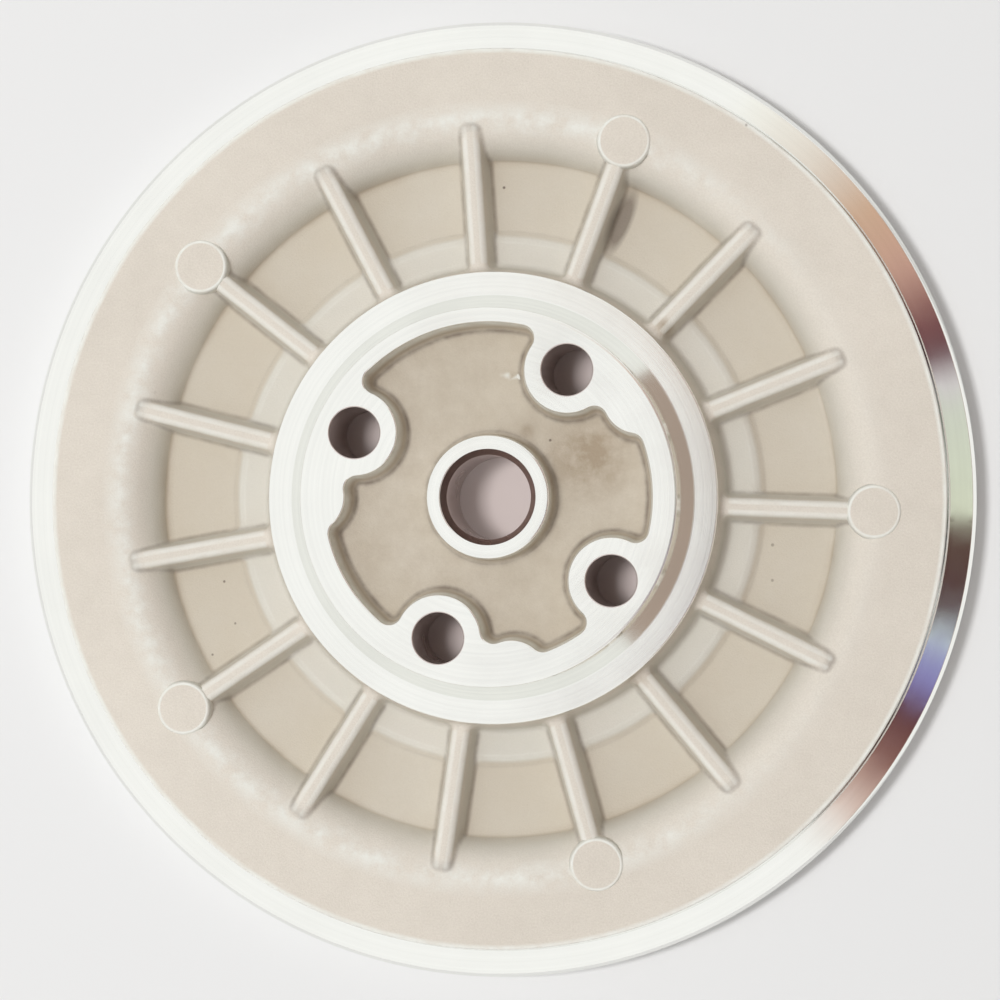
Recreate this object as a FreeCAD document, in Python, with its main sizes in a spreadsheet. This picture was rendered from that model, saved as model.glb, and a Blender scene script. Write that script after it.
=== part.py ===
import FreeCAD, Part
import math
import os

import Sketcher

# Turbo seal plate: one light alloy casting, machined on its rim, its hub and its back.
# The origin is on the bore axis at the back face, and +Z points out of the ribbed face.
# Lengths are in millimetres and angles in degrees, counterclockwise from +X.

SIZES = [
    ("rim_radius", 80.0, "outside of the machined rim"),
    ("rim_height", 7.0, "rim face above the back"),
    ("rim_edge", 0.6, "bevel on the upper outer edge of the rim"),
    ("rim_width", 4.8, "rim face from the cast ring outwards"),
    ("ring_rise", 3.0, "cast ring above the rim face"),
    ("floor_height", 4.0, "floor of the recess above the back"),
    ("ring_width", 14.6, "cast ring from its outer edge inwards to the slope"),
    ("slope_run", 4.0, "slope from the cast ring inwards to its shoulder"),
    ("slope_drop", 4.0, "slope from the cast ring down to its shoulder"),
    ("shoulder_run", 0.7, "steeper foot of the slope, from the shoulder inwards to the floor"),
    ("lip_round", 4.0, "rounding at the top of the slope"),
    ("shoulder_round", 4.0, "rounding at the shoulder of the slope"),
    ("step_rise", 1.0, "low step round the hub, above the floor"),
    ("step_run", 0.8, "slant of the low step's edge"),
    ("step_width", 4.6, "low step from the foot of the hub outwards"),
    ("hub_height", 18.0, "hub face above the back"),
    ("hub_radius", 37.6, "hub wall at the ledge"),
    ("hub_slant", 1.2, "hub wall, further out at its foot"),
    ("hub_foot_bevel", 1.2, "bevel at the foot of the hub wall"),
    ("ledge_drop", 5.4, "ledge of the hub below the hub face"),
    ("ledge_width", 3.9, "ledge from the spigot outwards"),
    ("spigot_slant", 2.4, "spigot, further out at the ledge"),
    ("rib_count", 15, "ribs round the plate"),
    ("rib_first_angle", -2.2, "direction of the first rib"),
    ("rib_drop", 0.2, "crest of a rib below the cast ring"),
    ("rib_crest_round", 1.5, "radius across a rib's crest"),
    ("rib_draft_angle", 9.0, "slant of a rib's flanks"),
    ("rib_foot_bevel", 0.7, "bevel between a rib and the floor"),
    ("rib_overlap", 1.6, "length and depth of a rib inside the metal that it joins"),
    ("pad_count", 5, "ejector pads"),
    ("pad_offset", 2.7, "centre of a pad outside the top of the slope"),
    ("pad_radius", 4.3, "one ejector pad"),
    ("pad_rise", 0.2, "ejector pads above the cast ring"),
    ("pocket_depth", 5.4, "floor of the hub pocket below the hub face"),
    ("pocket_wall", 4.0, "hub face between the spigot and the pocket"),
    ("pocket_lobe_wall", 2.3, "hub face between the spigot and the pocket's deeper lobe"),
    ("pocket_corner", 2.2, "rounded corners of the pocket outline"),
    ("pocket_draft_angle", 9.0, "slant of the pocket walls"),
    ("pocket_foot_bevel", 0.8, "bevel at the foot of the pocket walls"),
    ("bolt_inset", 6.6, "centres of the bolt bosses inside the spigot's edge"),
    ("bolt_boss_radius", 7.1, "one bolt boss at the hub face"),
    ("bolt_hole_radius", 4.2, "clearance hole of one bolt"),
    ("bolt_upper_left_angle", 154.3, "direction of a bolt boss"),
    ("bolt_upper_right_angle", 57.8, "direction of a bolt boss"),
    ("bolt_lower_right_angle", 326.0, "direction of a bolt boss"),
    ("bolt_lower_left_angle", 250.5, "direction of a bolt boss"),
    ("web_inset", 1.6, "centres of the round webs inside the spigot's edge"),
    ("web_radius", 5.8, "one round web"),
    ("web_left_angle", 180.0, "direction of a round web"),
    ("web_right_angle", 33.0, "direction of a round web"),
    ("web_lower_angle", 277.6, "direction of a round web"),
    ("collar_radius", 10.2, "bearing collar in the middle of the pocket"),
    ("collar_draft_angle", 3.0, "slant of the collar's wall"),
    ("saddle_angle", 64.0, "low saddle from the collar to a bolt boss"),
    ("saddle_width", 4.6, "width of the saddle at its crest"),
    ("saddle_rise", 1.1, "saddle above the pocket floor"),
    ("saddle_draft_angle", 40.0, "slant of the saddle's flanks"),
    ("bore_radius", 7.0, "shaft bore"),
    ("bore_bevel", 1.0, "bevelled mouth of the bore, outwards"),
    ("bore_bevel_depth", 1.6, "bevelled mouth of the bore, downwards"),
]

# Heights above the back and distances from the axis that follow from the sizes
RING_HEIGHT = "rim_height + ring_rise"
RING_RADIUS = "rim_radius - rim_width"
SLOPE_RADIUS = f"{RING_RADIUS} - ring_width"
SHOULDER_RADIUS = f"{SLOPE_RADIUS} - slope_run"
SHOULDER_HEIGHT = f"{RING_HEIGHT} - slope_drop"
FLOOR_RADIUS = f"{SHOULDER_RADIUS} - shoulder_run"
STEP_HEIGHT = "floor_height + step_rise"
HUB_FOOT_RADIUS = "hub_radius + hub_slant"
STEP_TOP_RADIUS = f"{HUB_FOOT_RADIUS} + step_width"
STEP_RADIUS = f"{STEP_TOP_RADIUS} + step_run"
LEDGE_HEIGHT = "hub_height - ledge_drop"
SPIGOT_FOOT_RADIUS = "hub_radius - ledge_width"
SPIGOT_RADIUS = f"{SPIGOT_FOOT_RADIUS} - spigot_slant"
RIB_HEIGHT = f"{RING_HEIGHT} - rib_drop"
RIB_START_RADIUS = "hub_radius - rib_overlap"
RIB_LENGTH = f"{SLOPE_RADIUS} + lip_round + rib_overlap - hub_radius"
PAD_CIRCLE_RADIUS = f"{SLOPE_RADIUS} + pad_offset"
PAD_HEIGHT = f"{RING_HEIGHT} + pad_rise"
POCKET_RADIUS = f"{SPIGOT_RADIUS} - pocket_wall"
LOBE_RADIUS = f"{SPIGOT_RADIUS} - pocket_lobe_wall"
POCKET_FLOOR = "hub_height - pocket_depth"
BOLT_CIRCLE_RADIUS = f"{SPIGOT_RADIUS} - bolt_inset"
WEB_CIRCLE_RADIUS = f"{SPIGOT_RADIUS} - web_inset"
SADDLE_END_RADIUS = f"{BOLT_CIRCLE_RADIUS} - bolt_boss_radius"
MOUTH_RADIUS = "bore_radius + bore_bevel"
MOUTH_HEIGHT = "hub_height - bore_bevel_depth"

ORIGIN = (-1, 1)
START, END, CENTRE = range(1, 4)
NEAR = 1e-4
UP = FreeCAD.Vector(0, 0, 1)
ZERO = FreeCAD.Vector(0, 0, 0)

doc = FreeCAD.newDocument("turbo_seal_plate")
sheet = doc.addObject("Spreadsheet::Sheet", "Sizes")
for row, (alias, value, note) in enumerate(SIZES, start=1):
    sheet.set(f"A{row}", note)
    sheet.set(f"B{row}", str(value))
    sheet.setAlias(f"B{row}", alias)
doc.recompute()

body = doc.addObject("PartDesign::Body", "seal_plate")
body.Label = "seal_plate"
origin_part = {feature.Role: feature for feature in body.Origin.OriginFeatures}


def measure(formula):
    """Works out a sum of sizes of the sheet, such as hub_radius + hub_slant."""
    total = 0.0
    sign = 1
    for word in formula.split():
        if word in ("+", "-"):
            sign = 1 if word == "+" else -1
        else:
            total += sign * float(sheet.get(word))
    return total


def tie(formula):
    """Writes the same sum as FreeCAD's expressions do, with the sheet's name before each size."""
    return " ".join(word if word in ("+", "-") else f"Sizes.{word}" for word in formula.split())


def new_sketch(name, plane, height=None):
    """Starts a sketch on one of the body's origin planes, lifted to a height."""
    sketch = body.newObject("Sketcher::SketchObject", name)
    sketch.AttachmentSupport = [(origin_part[plane], "")]
    sketch.MapMode = "FlatFace"
    if height:
        sketch.setExpression("AttachmentOffset.Base.z", tie(height))
    return sketch


def relate(sketch, kind, *where):
    """Adds a constraint that has no size."""
    sketch.addConstraint(Sketcher.Constraint(kind, *where))


def bind(sketch, kind, *where, to, backwards=False):
    """Adds a dimension to the sketch and ties it to a sum of sizes, or to its negative."""
    value = -measure(to) if backwards else measure(to)
    index = sketch.addConstraint(Sketcher.Constraint(kind, *where, value))
    sketch.setExpression(f"Constraints[{index}]", f"-({tie(to)})" if backwards else tie(to))


def bind_angle(sketch, line, value, formula):
    """Sets a line's direction, in radians, and ties it to a formula in degrees."""
    index = sketch.addConstraint(Sketcher.Constraint("Angle", line, value))
    sketch.setExpression(f"Constraints[{index}]", formula)


def closed_profile(sketch, corners):
    """Draws a closed outline through corners, each a pair of sums of sizes, or None for zero."""
    points = [
        FreeCAD.Vector(*[measure(formula) if formula else 0.0 for formula in corner], 0)
        for corner in corners
    ]
    lines = [
        sketch.addGeometry(Part.LineSegment(point, points[(index + 1) % len(points)]))
        for index, point in enumerate(points)
    ]
    for index, line in enumerate(lines):
        relate(sketch, "Coincident", lines[index - 1], END, line, START)
        across, along = corners[index]
        if not (across or along):
            relate(sketch, "Coincident", line, START, *ORIGIN)
            continue
        if across:
            bind(sketch, "DistanceX", *ORIGIN, line, START, to=across)
        else:
            relate(sketch, "Vertical", line, START, *ORIGIN)
        if along:
            bind(sketch, "DistanceY", *ORIGIN, line, START, to=along)
        else:
            relate(sketch, "Horizontal", line, START, *ORIGIN)


def direction(angle):
    """Gives the unit vector that points in a direction of the sheet."""
    turn = math.radians(measure(angle))
    return FreeCAD.Vector(math.cos(turn), math.sin(turn), 0)


def spoke(sketch, radius, angle):
    """Draws a construction line from the origin to a polar point, for a centre to sit on."""
    line = sketch.addGeometry(Part.LineSegment(ZERO, measure(radius) * direction(angle)), True)
    relate(sketch, "Coincident", line, START, *ORIGIN)
    bind(sketch, "Distance", line, to=radius)
    bind_angle(sketch, line, math.radians(measure(angle)), f"{tie(angle)} * 1 deg")
    return line


def circle(sketch, radius, line=None):
    """Draws a circle about the end of a construction line, or about the origin."""
    centre = ZERO if line is None else sketch.getPoint(line, END)
    ring = sketch.addGeometry(Part.Circle(centre, UP, measure(radius)))
    seat = ORIGIN if line is None else (line, END)
    relate(sketch, "Coincident", ring, CENTRE, *seat)
    bind(sketch, "Radius", ring, to=radius)


def feature(kind, name, profile=None, formulas=None, **settings):
    """Adds a PartDesign feature, ties its sizes to the sheet and rebuilds the body."""
    made = body.newObject(f"PartDesign::{kind}", name)
    if profile:
        made.Profile = profile
        profile.Visibility = False
    for key, value in settings.items():
        setattr(made, key, value)
    for key, formula in (formulas or {}).items():
        made.setExpression(key, formula)
    body.Tip = made
    doc.recompute()
    return made


def ring_edges(radius, height):
    """Names the round edges of the body about its axis at a radius and a height."""
    names = []
    for index, edge in enumerate(body.Tip.Shape.Edges, start=1):
        if not isinstance(edge.Curve, Part.Circle):
            continue
        centre = edge.Curve.Center
        on_axis = math.hypot(centre.x, centre.y) < NEAR and abs(centre.z - measure(height)) < NEAR
        if on_axis and abs(edge.Curve.Radius - measure(radius)) < NEAR:
            names.append(f"Edge{index}")
    return names


def floor_edges(height, radius):
    """Names the edges of the body that lie flat at a height, all within a radius of the axis."""
    level, reach = measure(height), measure(radius)
    names = []
    for index, edge in enumerate(body.Tip.Shape.Edges, start=1):
        box = edge.BoundBox
        flat = max(abs(box.ZMin - level), abs(box.ZMax - level)) < NEAR
        if flat and all(math.hypot(point.x, point.y) < reach for point in edge.discretize(5)):
            names.append(f"Edge{index}")
    return names


def dress(kind, name, edges, width):
    """Rounds or bevels edges of the body with a size of the sheet."""
    key = "Radius" if kind == "Fillet" else "Size"
    feature(kind, name, Base=(body.Tip, edges), formulas={key: tie(width)})


def polar_pattern(name, original, count):
    """Repeats a feature round the bore axis."""
    axis = (origin_part["Z_Axis"], [""])
    formulas = {"Occurrences": tie(count)}
    feature("PolarPattern", name, Originals=[original], Axis=axis, Angle=360, formulas=formulas)


def turned_plate():
    """Revolves the section of the plate: rim, cast ring, recess, low step, ledge and hub."""
    section = new_sketch("PlateSection", "XZ_Plane")
    closed_profile(
        section,
        [
            (None, None),
            ("rim_radius", None),
            ("rim_radius", "rim_height"),
            (RING_RADIUS, "rim_height"),
            (RING_RADIUS, RING_HEIGHT),
            (SLOPE_RADIUS, RING_HEIGHT),
            (SHOULDER_RADIUS, SHOULDER_HEIGHT),
            (FLOOR_RADIUS, "floor_height"),
            (STEP_RADIUS, "floor_height"),
            (STEP_TOP_RADIUS, STEP_HEIGHT),
            (HUB_FOOT_RADIUS, STEP_HEIGHT),
            ("hub_radius", LEDGE_HEIGHT),
            (SPIGOT_FOOT_RADIUS, LEDGE_HEIGHT),
            (SPIGOT_RADIUS, "hub_height"),
            (None, "hub_height"),
        ],
    )
    feature("Revolution", "Plate", section, ReferenceAxis=(section, ["V_Axis"]), Angle=360)
    dress("Chamfer", "RimBevel", ring_edges("rim_radius", "rim_height"), "rim_edge")
    dress("Fillet", "SlopeLip", ring_edges(SLOPE_RADIUS, RING_HEIGHT), "lip_round")
    shoulder = ring_edges(SHOULDER_RADIUS, SHOULDER_HEIGHT)
    dress("Fillet", "SlopeShoulder", shoulder, "shoulder_round")
    dress("Chamfer", "HubFoot", ring_edges(HUB_FOOT_RADIUS, STEP_HEIGHT), "hub_foot_bevel")


def rib_section():
    """Draws one rib across: round crest, slanted flanks, bevelled feet and a root under the floor."""
    sketch = new_sketch("RibSection", "YZ_Plane")
    angle = f"{tie('rib_first_angle')} * 1 deg"
    start = f"({tie(RIB_START_RADIUS)})"
    turn = FreeCAD.Rotation(FreeCAD.Vector(0, 1, 0), measure("rib_first_angle"))
    sketch.AttachmentOffset = FreeCAD.Placement(measure(RIB_START_RADIUS) * UP, turn)
    sketch.setExpression("AttachmentOffset.Base.x", f"{start} * sin({angle})")
    sketch.setExpression("AttachmentOffset.Base.z", f"{start} * cos({angle})")
    sketch.setExpression("AttachmentOffset.Rotation.Angle", angle)

    crest, bevel_size, overlap = (
        measure(name) for name in ("rib_crest_round", "rib_foot_bevel", "rib_overlap")
    )
    crest_y = measure(RIB_HEIGHT) - crest
    toe_y = measure("floor_height")
    draft = math.radians(measure("rib_draft_angle"))
    flank_top = FreeCAD.Vector(crest * math.cos(draft), crest_y + crest * math.sin(draft), 0)
    heel_y = toe_y + bevel_size
    heel = FreeCAD.Vector(flank_top.x + (flank_top.y - heel_y) * math.tan(draft), heel_y, 0)
    toe = FreeCAD.Vector(heel.x + bevel_size, toe_y, 0)
    root = FreeCAD.Vector(toe.x, toe_y - overlap, 0)

    crest_circle = Part.Circle(FreeCAD.Vector(0, crest_y, 0), UP, crest)
    crest_arc = sketch.addGeometry(Part.ArcOfCircle(crest_circle, draft, math.pi - draft))
    relate(sketch, "Vertical", crest_arc, CENTRE, *ORIGIN)
    bind(sketch, "Radius", crest_arc, to="rib_crest_round")
    bind(sketch, "DistanceY", *ORIGIN, crest_arc, CENTRE, to=f"{RIB_HEIGHT} - rib_crest_round")
    drops = []
    for side, arc_end in ((1, START), (-1, END)):
        left = side < 0
        corners = [FreeCAD.Vector(side * point.x, point.y, 0) for point in (flank_top, heel, toe, root)]
        flank, bevel, drop = (
            sketch.addGeometry(Part.LineSegment(*pair)) for pair in zip(corners, corners[1:])
        )
        relate(sketch, "Tangent", crest_arc, arc_end, flank, START)
        relate(sketch, "Coincident", flank, END, bevel, START)
        relate(sketch, "Coincident", bevel, END, drop, START)
        relate(sketch, "Vertical", drop)
        slant = f"{'-' if left else ''}{tie('rib_draft_angle')} * 1 deg - 90 deg"
        bind_angle(sketch, flank, side * draft - math.pi / 2, slant)
        bind(sketch, "DistanceX", bevel, START, bevel, END, to="rib_foot_bevel", backwards=left)
        bind(sketch, "DistanceY", bevel, END, bevel, START, to="rib_foot_bevel")
        bind(sketch, "DistanceY", *ORIGIN, bevel, END, to="floor_height")
        bind(sketch, "DistanceY", drop, END, drop, START, to="rib_overlap")
        drops.append(drop)
    left_root = FreeCAD.Vector(-root.x, root.y, 0)
    base = sketch.addGeometry(Part.LineSegment(root, left_root))
    relate(sketch, "Coincident", drops[0], END, base, START)
    relate(sketch, "Coincident", base, END, drops[1], END)
    return sketch


def ribs():
    """Pads one rib outwards from the hub and repeats it round the plate."""
    rib = feature("Pad", "Rib", rib_section(), {"Length": tie(RIB_LENGTH)})
    polar_pattern("Ribs", rib, "rib_count")


def ejector_pads():
    """Adds the round pads where every third rib meets the cast ring."""
    sketch = new_sketch("PadOutline", "XY_Plane")
    circle(sketch, "pad_radius", spoke(sketch, PAD_CIRCLE_RADIUS, "rib_first_angle"))
    pad = feature("Pad", "EjectorPad", sketch, {"Length": tie(PAD_HEIGHT)})
    polar_pattern("EjectorPads", pad, "pad_count")


def touching_centre(first, second, radius):
    """Gives the centre of the corner arc that touches two arcs of the pocket outline."""
    reach = [
        arc["radius"] - radius if arc["is_wall"] else arc["radius"] + radius for arc in (first, second)
    ]
    span = second["centre"] - first["centre"]
    along = (span.Length**2 + reach[0] ** 2 - reach[1] ** 2) / (2 * span.Length)
    aside = math.sqrt(reach[0] ** 2 - along**2)
    ahead = span / span.Length
    left = FreeCAD.Vector(-ahead.y, ahead.x, 0)
    side = -1 if first["is_wall"] or second["is_wall"] else 1
    return first["centre"] + along * ahead + side * aside * left


def touching_point(arc, corner_centre):
    """Gives the point where a corner arc touches an arc of the pocket outline."""
    reach = corner_centre - arc["centre"]
    return arc["centre"] + reach * (arc["radius"] / reach.Length)


def arc_between(sketch, centre, radius, start, end):
    """Draws the arc that runs counterclockwise from one point to another."""
    first = math.atan2(start.y - centre.y, start.x - centre.x)
    last = math.atan2(end.y - centre.y, end.x - centre.x)
    if last <= first:
        last += 2 * math.pi
    return sketch.addGeometry(Part.ArcOfCircle(Part.Circle(centre, UP, radius), first, last))


def pocket_outline():
    """Draws the hub pocket: wall, bolt bosses and round webs, joined by tangent corner arcs."""
    sketch = new_sketch("PocketOutline", "XY_Plane", "hub_height")
    boss = ("bolt_boss_radius", BOLT_CIRCLE_RADIUS)
    web = ("web_radius", WEB_CIRCLE_RADIUS)
    wall = (POCKET_RADIUS, None, None)
    counterclockwise = [
        (*web, "web_right_angle"),
        (*boss, "bolt_upper_right_angle"),
        (LOBE_RADIUS, None, None),
        (*boss, "bolt_upper_left_angle"),
        (*web, "web_left_angle"),
        wall,
        (*boss, "bolt_lower_left_angle"),
        (*web, "web_lower_angle"),
        wall,
        (*boss, "bolt_lower_right_angle"),
        wall,
    ]
    arcs = []
    for radius, circle_radius, angle in counterclockwise:
        centre = measure(circle_radius) * direction(angle) if angle else ZERO
        arcs.append(
            {
                "size": radius,
                "radius": measure(radius),
                "centre": centre,
                "is_wall": angle is None,
                "seat": (circle_radius, angle),
            }
        )
    corner = measure("pocket_corner")
    following = arcs[1:] + arcs[:1]
    centres = [touching_centre(arc, after, corner) for arc, after in zip(arcs, following)]
    for arc, centre_before, centre_after in zip(arcs, centres[-1:] + centres[:-1], centres):
        ends = [touching_point(arc, centre) for centre in (centre_before, centre_after)]
        if not arc["is_wall"]:
            ends.reverse()
        arc["first"], arc["last"] = (START, END) if arc["is_wall"] else (END, START)
        arc["id"] = arc_between(sketch, arc["centre"], arc["radius"], *ends)
    for arc, after, centre in zip(arcs, following, centres):
        ends = [touching_point(neighbour, centre) for neighbour in (arc, after)]
        corner_arc = arc_between(sketch, centre, corner, *ends)
        relate(sketch, "Tangent", arc["id"], arc["last"], corner_arc, START)
        relate(sketch, "Tangent", corner_arc, END, after["id"], after["first"])
        bind(sketch, "Radius", corner_arc, to="pocket_corner")
    for arc in arcs:
        seat = ORIGIN if arc["is_wall"] else (spoke(sketch, *arc["seat"]), END)
        relate(sketch, "Coincident", arc["id"], CENTRE, *seat)
        bind(sketch, "Radius", arc["id"], to=arc["size"])
    return sketch


def saddle_outline():
    """Draws the crest of the low saddle that joins the collar to a bolt boss."""
    sketch = new_sketch("SaddleOutline", "XY_Plane", f"{POCKET_FLOOR} + saddle_rise")
    middle = spoke(sketch, SADDLE_END_RADIUS, "saddle_angle")
    ahead = direction("saddle_angle")
    aside = FreeCAD.Vector(-ahead.y, ahead.x, 0) * (measure("saddle_width") / 2)
    near = ahead * measure(MOUTH_RADIUS)
    far = ahead * measure(SADDLE_END_RADIUS)
    points = [near + aside, near - aside, far - aside, far + aside]
    lines = [
        sketch.addGeometry(Part.LineSegment(point, points[(index + 1) % 4]))
        for index, point in enumerate(points)
    ]
    for index, line in enumerate(lines):
        relate(sketch, "Coincident", lines[index - 1], END, line, START)
    inner_end, right_side, outer_end, left_side = lines
    relate(sketch, "Parallel", right_side, middle)
    relate(sketch, "Parallel", left_side, middle)
    relate(sketch, "Perpendicular", outer_end, middle)
    relate(sketch, "Perpendicular", inner_end, middle)
    relate(sketch, "Symmetric", outer_end, START, outer_end, END, middle, END)
    bind(sketch, "Distance", outer_end, to="saddle_width")
    bind(sketch, "Distance", right_side, to=f"{SADDLE_END_RADIUS} - bore_radius - bore_bevel")
    return sketch


def hub_pocket():
    """Sinks the drafted pocket into the hub, with its collar and the saddle beside it."""
    depth = tie("pocket_depth")
    draft = {"Length": depth, "TaperAngle": f"-{tie('pocket_draft_angle')}"}
    feature("Pocket", "HubPocket", pocket_outline(), draft)
    collar = new_sketch("CollarOutline", "XY_Plane", "hub_height")
    circle(collar, "collar_radius")
    draft = {"Length": depth, "TaperAngle": tie("collar_draft_angle")}
    feature("Pad", "Collar", collar, draft, Reversed=True)
    dress("Chamfer", "PocketFoot", floor_edges(POCKET_FLOOR, LOBE_RADIUS), "pocket_foot_bevel")
    draft = {"Length": tie("saddle_rise"), "TaperAngle": f"-{tie('saddle_draft_angle')}"}
    feature("Pad", "Saddle", saddle_outline(), draft, Reversed=True)


def bores():
    """Drills the shaft bore with its bevelled mouth and the four bolt holes."""
    shaft = new_sketch("BoreOutline", "XY_Plane", "hub_height")
    circle(shaft, "bore_radius")
    feature("Pocket", "Bore", shaft, Type="ThroughAll")
    mouth = new_sketch("MouthSection", "XZ_Plane")
    closed_profile(
        mouth,
        [
            (None, "hub_height"),
            (MOUTH_RADIUS, "hub_height"),
            ("bore_radius", MOUTH_HEIGHT),
            (None, MOUTH_HEIGHT),
        ],
    )
    feature("Groove", "BoreMouth", mouth, ReferenceAxis=(mouth, ["V_Axis"]), Angle=360)
    holes = new_sketch("BoltHoleOutline", "XY_Plane", "hub_height")
    for place in ("upper_left", "upper_right", "lower_right", "lower_left"):
        circle(holes, "bolt_hole_radius", spoke(holes, BOLT_CIRCLE_RADIUS, f"bolt_{place}_angle"))
    feature("Pocket", "BoltHoles", holes, Type="ThroughAll")


turned_plate()
ribs()
ejector_pads()
hub_pocket()
bores()

for made in doc.Objects:
    if {"Invalid", "Error"} & set(made.State):
        raise RuntimeError(f"{made.Name} failed: {made.getStatusString()}")
solid = body.Shape
if solid.isNull() or not solid.isValid() or len(solid.Solids) != 1:
    raise RuntimeError("the plate is not one valid solid")
os.makedirs("parts", exist_ok=True)
solid.exportStep("parts/seal_plate.step")
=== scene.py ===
"""Turbo seal plate: the looks of the casting, its machined faces and the table that it lies on."""

import math

import bmesh
import bpy
import numpy as np
from bpy.props import FloatProperty, FloatVectorProperty, IntProperty, PointerProperty
from mathutils import Matrix, Vector, noise
from mathutils.geometry import delaunay_2d_cdt


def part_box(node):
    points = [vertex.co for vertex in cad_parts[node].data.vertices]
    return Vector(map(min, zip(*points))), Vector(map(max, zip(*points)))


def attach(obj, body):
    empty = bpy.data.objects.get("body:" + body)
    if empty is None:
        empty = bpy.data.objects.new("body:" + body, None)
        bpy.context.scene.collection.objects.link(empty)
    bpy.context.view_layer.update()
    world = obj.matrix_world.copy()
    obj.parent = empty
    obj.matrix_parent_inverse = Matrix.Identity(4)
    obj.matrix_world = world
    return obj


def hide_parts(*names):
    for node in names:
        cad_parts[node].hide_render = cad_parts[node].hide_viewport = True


bl_info = {
    "name": "Turbo Seal Plate",
    "version": (1, 0, 0),
    "blender": (4, 5, 0),
    "location": "3D Viewport > Sidebar > Seal Plate",
    "description": "Builds the ribbed seal plate, its ejector pads, their finishes and a pale table",
    "category": "Add Mesh",
}

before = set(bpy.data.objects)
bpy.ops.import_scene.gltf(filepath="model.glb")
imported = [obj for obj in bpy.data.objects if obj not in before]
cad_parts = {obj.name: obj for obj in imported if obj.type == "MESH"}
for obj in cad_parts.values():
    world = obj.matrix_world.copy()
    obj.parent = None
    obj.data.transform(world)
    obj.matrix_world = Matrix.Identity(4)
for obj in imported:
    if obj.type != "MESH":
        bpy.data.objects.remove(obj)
CAD_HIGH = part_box("seal_plate")[1]
MM = 0.001
TURN = 2 * math.pi

# Shares of the ring's slant near the top and the foot of its outer wall
WALL_TOP, WALL_FOOT = 0.1, 0.7
# Finishes of the faces, kept on the mesh as the face attribute "finish"
CAST, TURNED, MIRROR, BORED, BACK = range(5)


def length(name, description, millimetres):
    """Gives a size property in metres."""
    return FloatProperty(
        name=name, description=description, default=millimetres * MM, unit="LENGTH", precision=5
    )


def angle(name, description, degrees):
    """Gives an angle property in radians."""
    return FloatProperty(
        name=name, description=description, default=math.radians(degrees), subtype="ANGLE"
    )


def colour(name, description, red, green, blue):
    """Gives a colour property."""
    return FloatVectorProperty(
        name=name, description=description, default=(red, green, blue), min=0.0, max=1.0, subtype="COLOR"
    )


class PlateSizes(bpy.types.PropertyGroup):
    """Turned section of the plate, from the hub out to the rim."""

    rim_radius: length("Rim radius", "Outside of the machined rim", CAD_HIGH.x / MM)
    rim_height: length("Rim height", "Rim face above the back", 7.0)
    rim_edge: length("Rim bevel", "Bevel on the upper outer edge of the rim", 0.6)
    ring_radius: length("Ring radius", "Outer edge of the cast ring", 75.2)
    ring_height: length("Ring height", "Cast ring above the back", 10.0)
    ring_slant: length("Ring slant", "Outer wall of the cast ring, further out at its foot", 0.4)
    lip_radius: length("Lip radius", "Where the slope starts to fall from the cast ring", 64.6)
    slope_foot_radius: length("Slope foot", "Where the slope meets the floor of the recess", 56.8)
    floor_height: length("Floor height", "Floor of the recess above the back", 4.0)
    step_height: length("Step height", "Low step round the hub above the back", 5.0)
    step_top_radius: length("Step top", "Outer edge of the low step's top", 43.5)
    step_radius: length("Step foot", "Foot of the low step's edge", 45.0)
    step_edge: length("Step edge", "Rounding of the low step's edge", 0.4)
    hub_height: length("Hub height", "Hub face above the back", CAD_HIGH.z / MM)
    hub_radius: length("Hub radius", "Hub wall at the ledge", 37.6)
    hub_slant: length("Hub slant", "Hub wall, further out at its foot", 1.2)
    hub_foot: length("Hub foot", "Rounding at the foot of the hub wall", 1.2)
    ledge_height: length("Ledge height", "Ledge of the hub above the back", 12.6)
    spigot_foot_radius: length("Spigot foot", "Spigot where it meets the ledge", 33.7)
    spigot_radius: length("Spigot radius", "Edge of the hub face", 31.3)
    machined_edge: length("Machined edges", "Rounding that the deburring left on machined edges", 0.22)
    ripple: length("Ripple", "Unevenness of the cast skin", 0.05)


class RibSizes(bpy.types.PropertyGroup):
    """Ribs and ejector pads."""

    count: IntProperty(name="Ribs", description="Ribs round the plate", default=15, min=3)
    first: angle("First rib", "Direction of the first rib", -2.2)
    crest_height: length("Crest height", "Crest of a rib above the back", 10.0)
    crest_round: length("Crest rounding", "Rounding of the crest's two shoulders", 1.1)
    crest_flat: length("Crest flat", "Half of the flat between the two shoulders", 0.45)
    draft: angle("Draft", "Slant of a rib's flanks", 9.0)
    nose_radius: length("Nose", "Where a rib's round nose starts", 61.6)
    foot_round: length("Foot rounding", "Hollow where a rib meets the floor", 1.0)
    pad_count: IntProperty(name="Pads", description="Ejector pads round the plate", default=5, min=1)
    pad_circle: length("Pad circle", "Centres of the pads from the axis", 63.3)
    pad_radius: length("Pad radius", "Flat top of one pad", 4.2)
    pad_height: length("Pad height", "Pads above the back", 10.25)
    pad_root: length("Pad root", "Underside of a pad inside the casting", 5.4)


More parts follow.
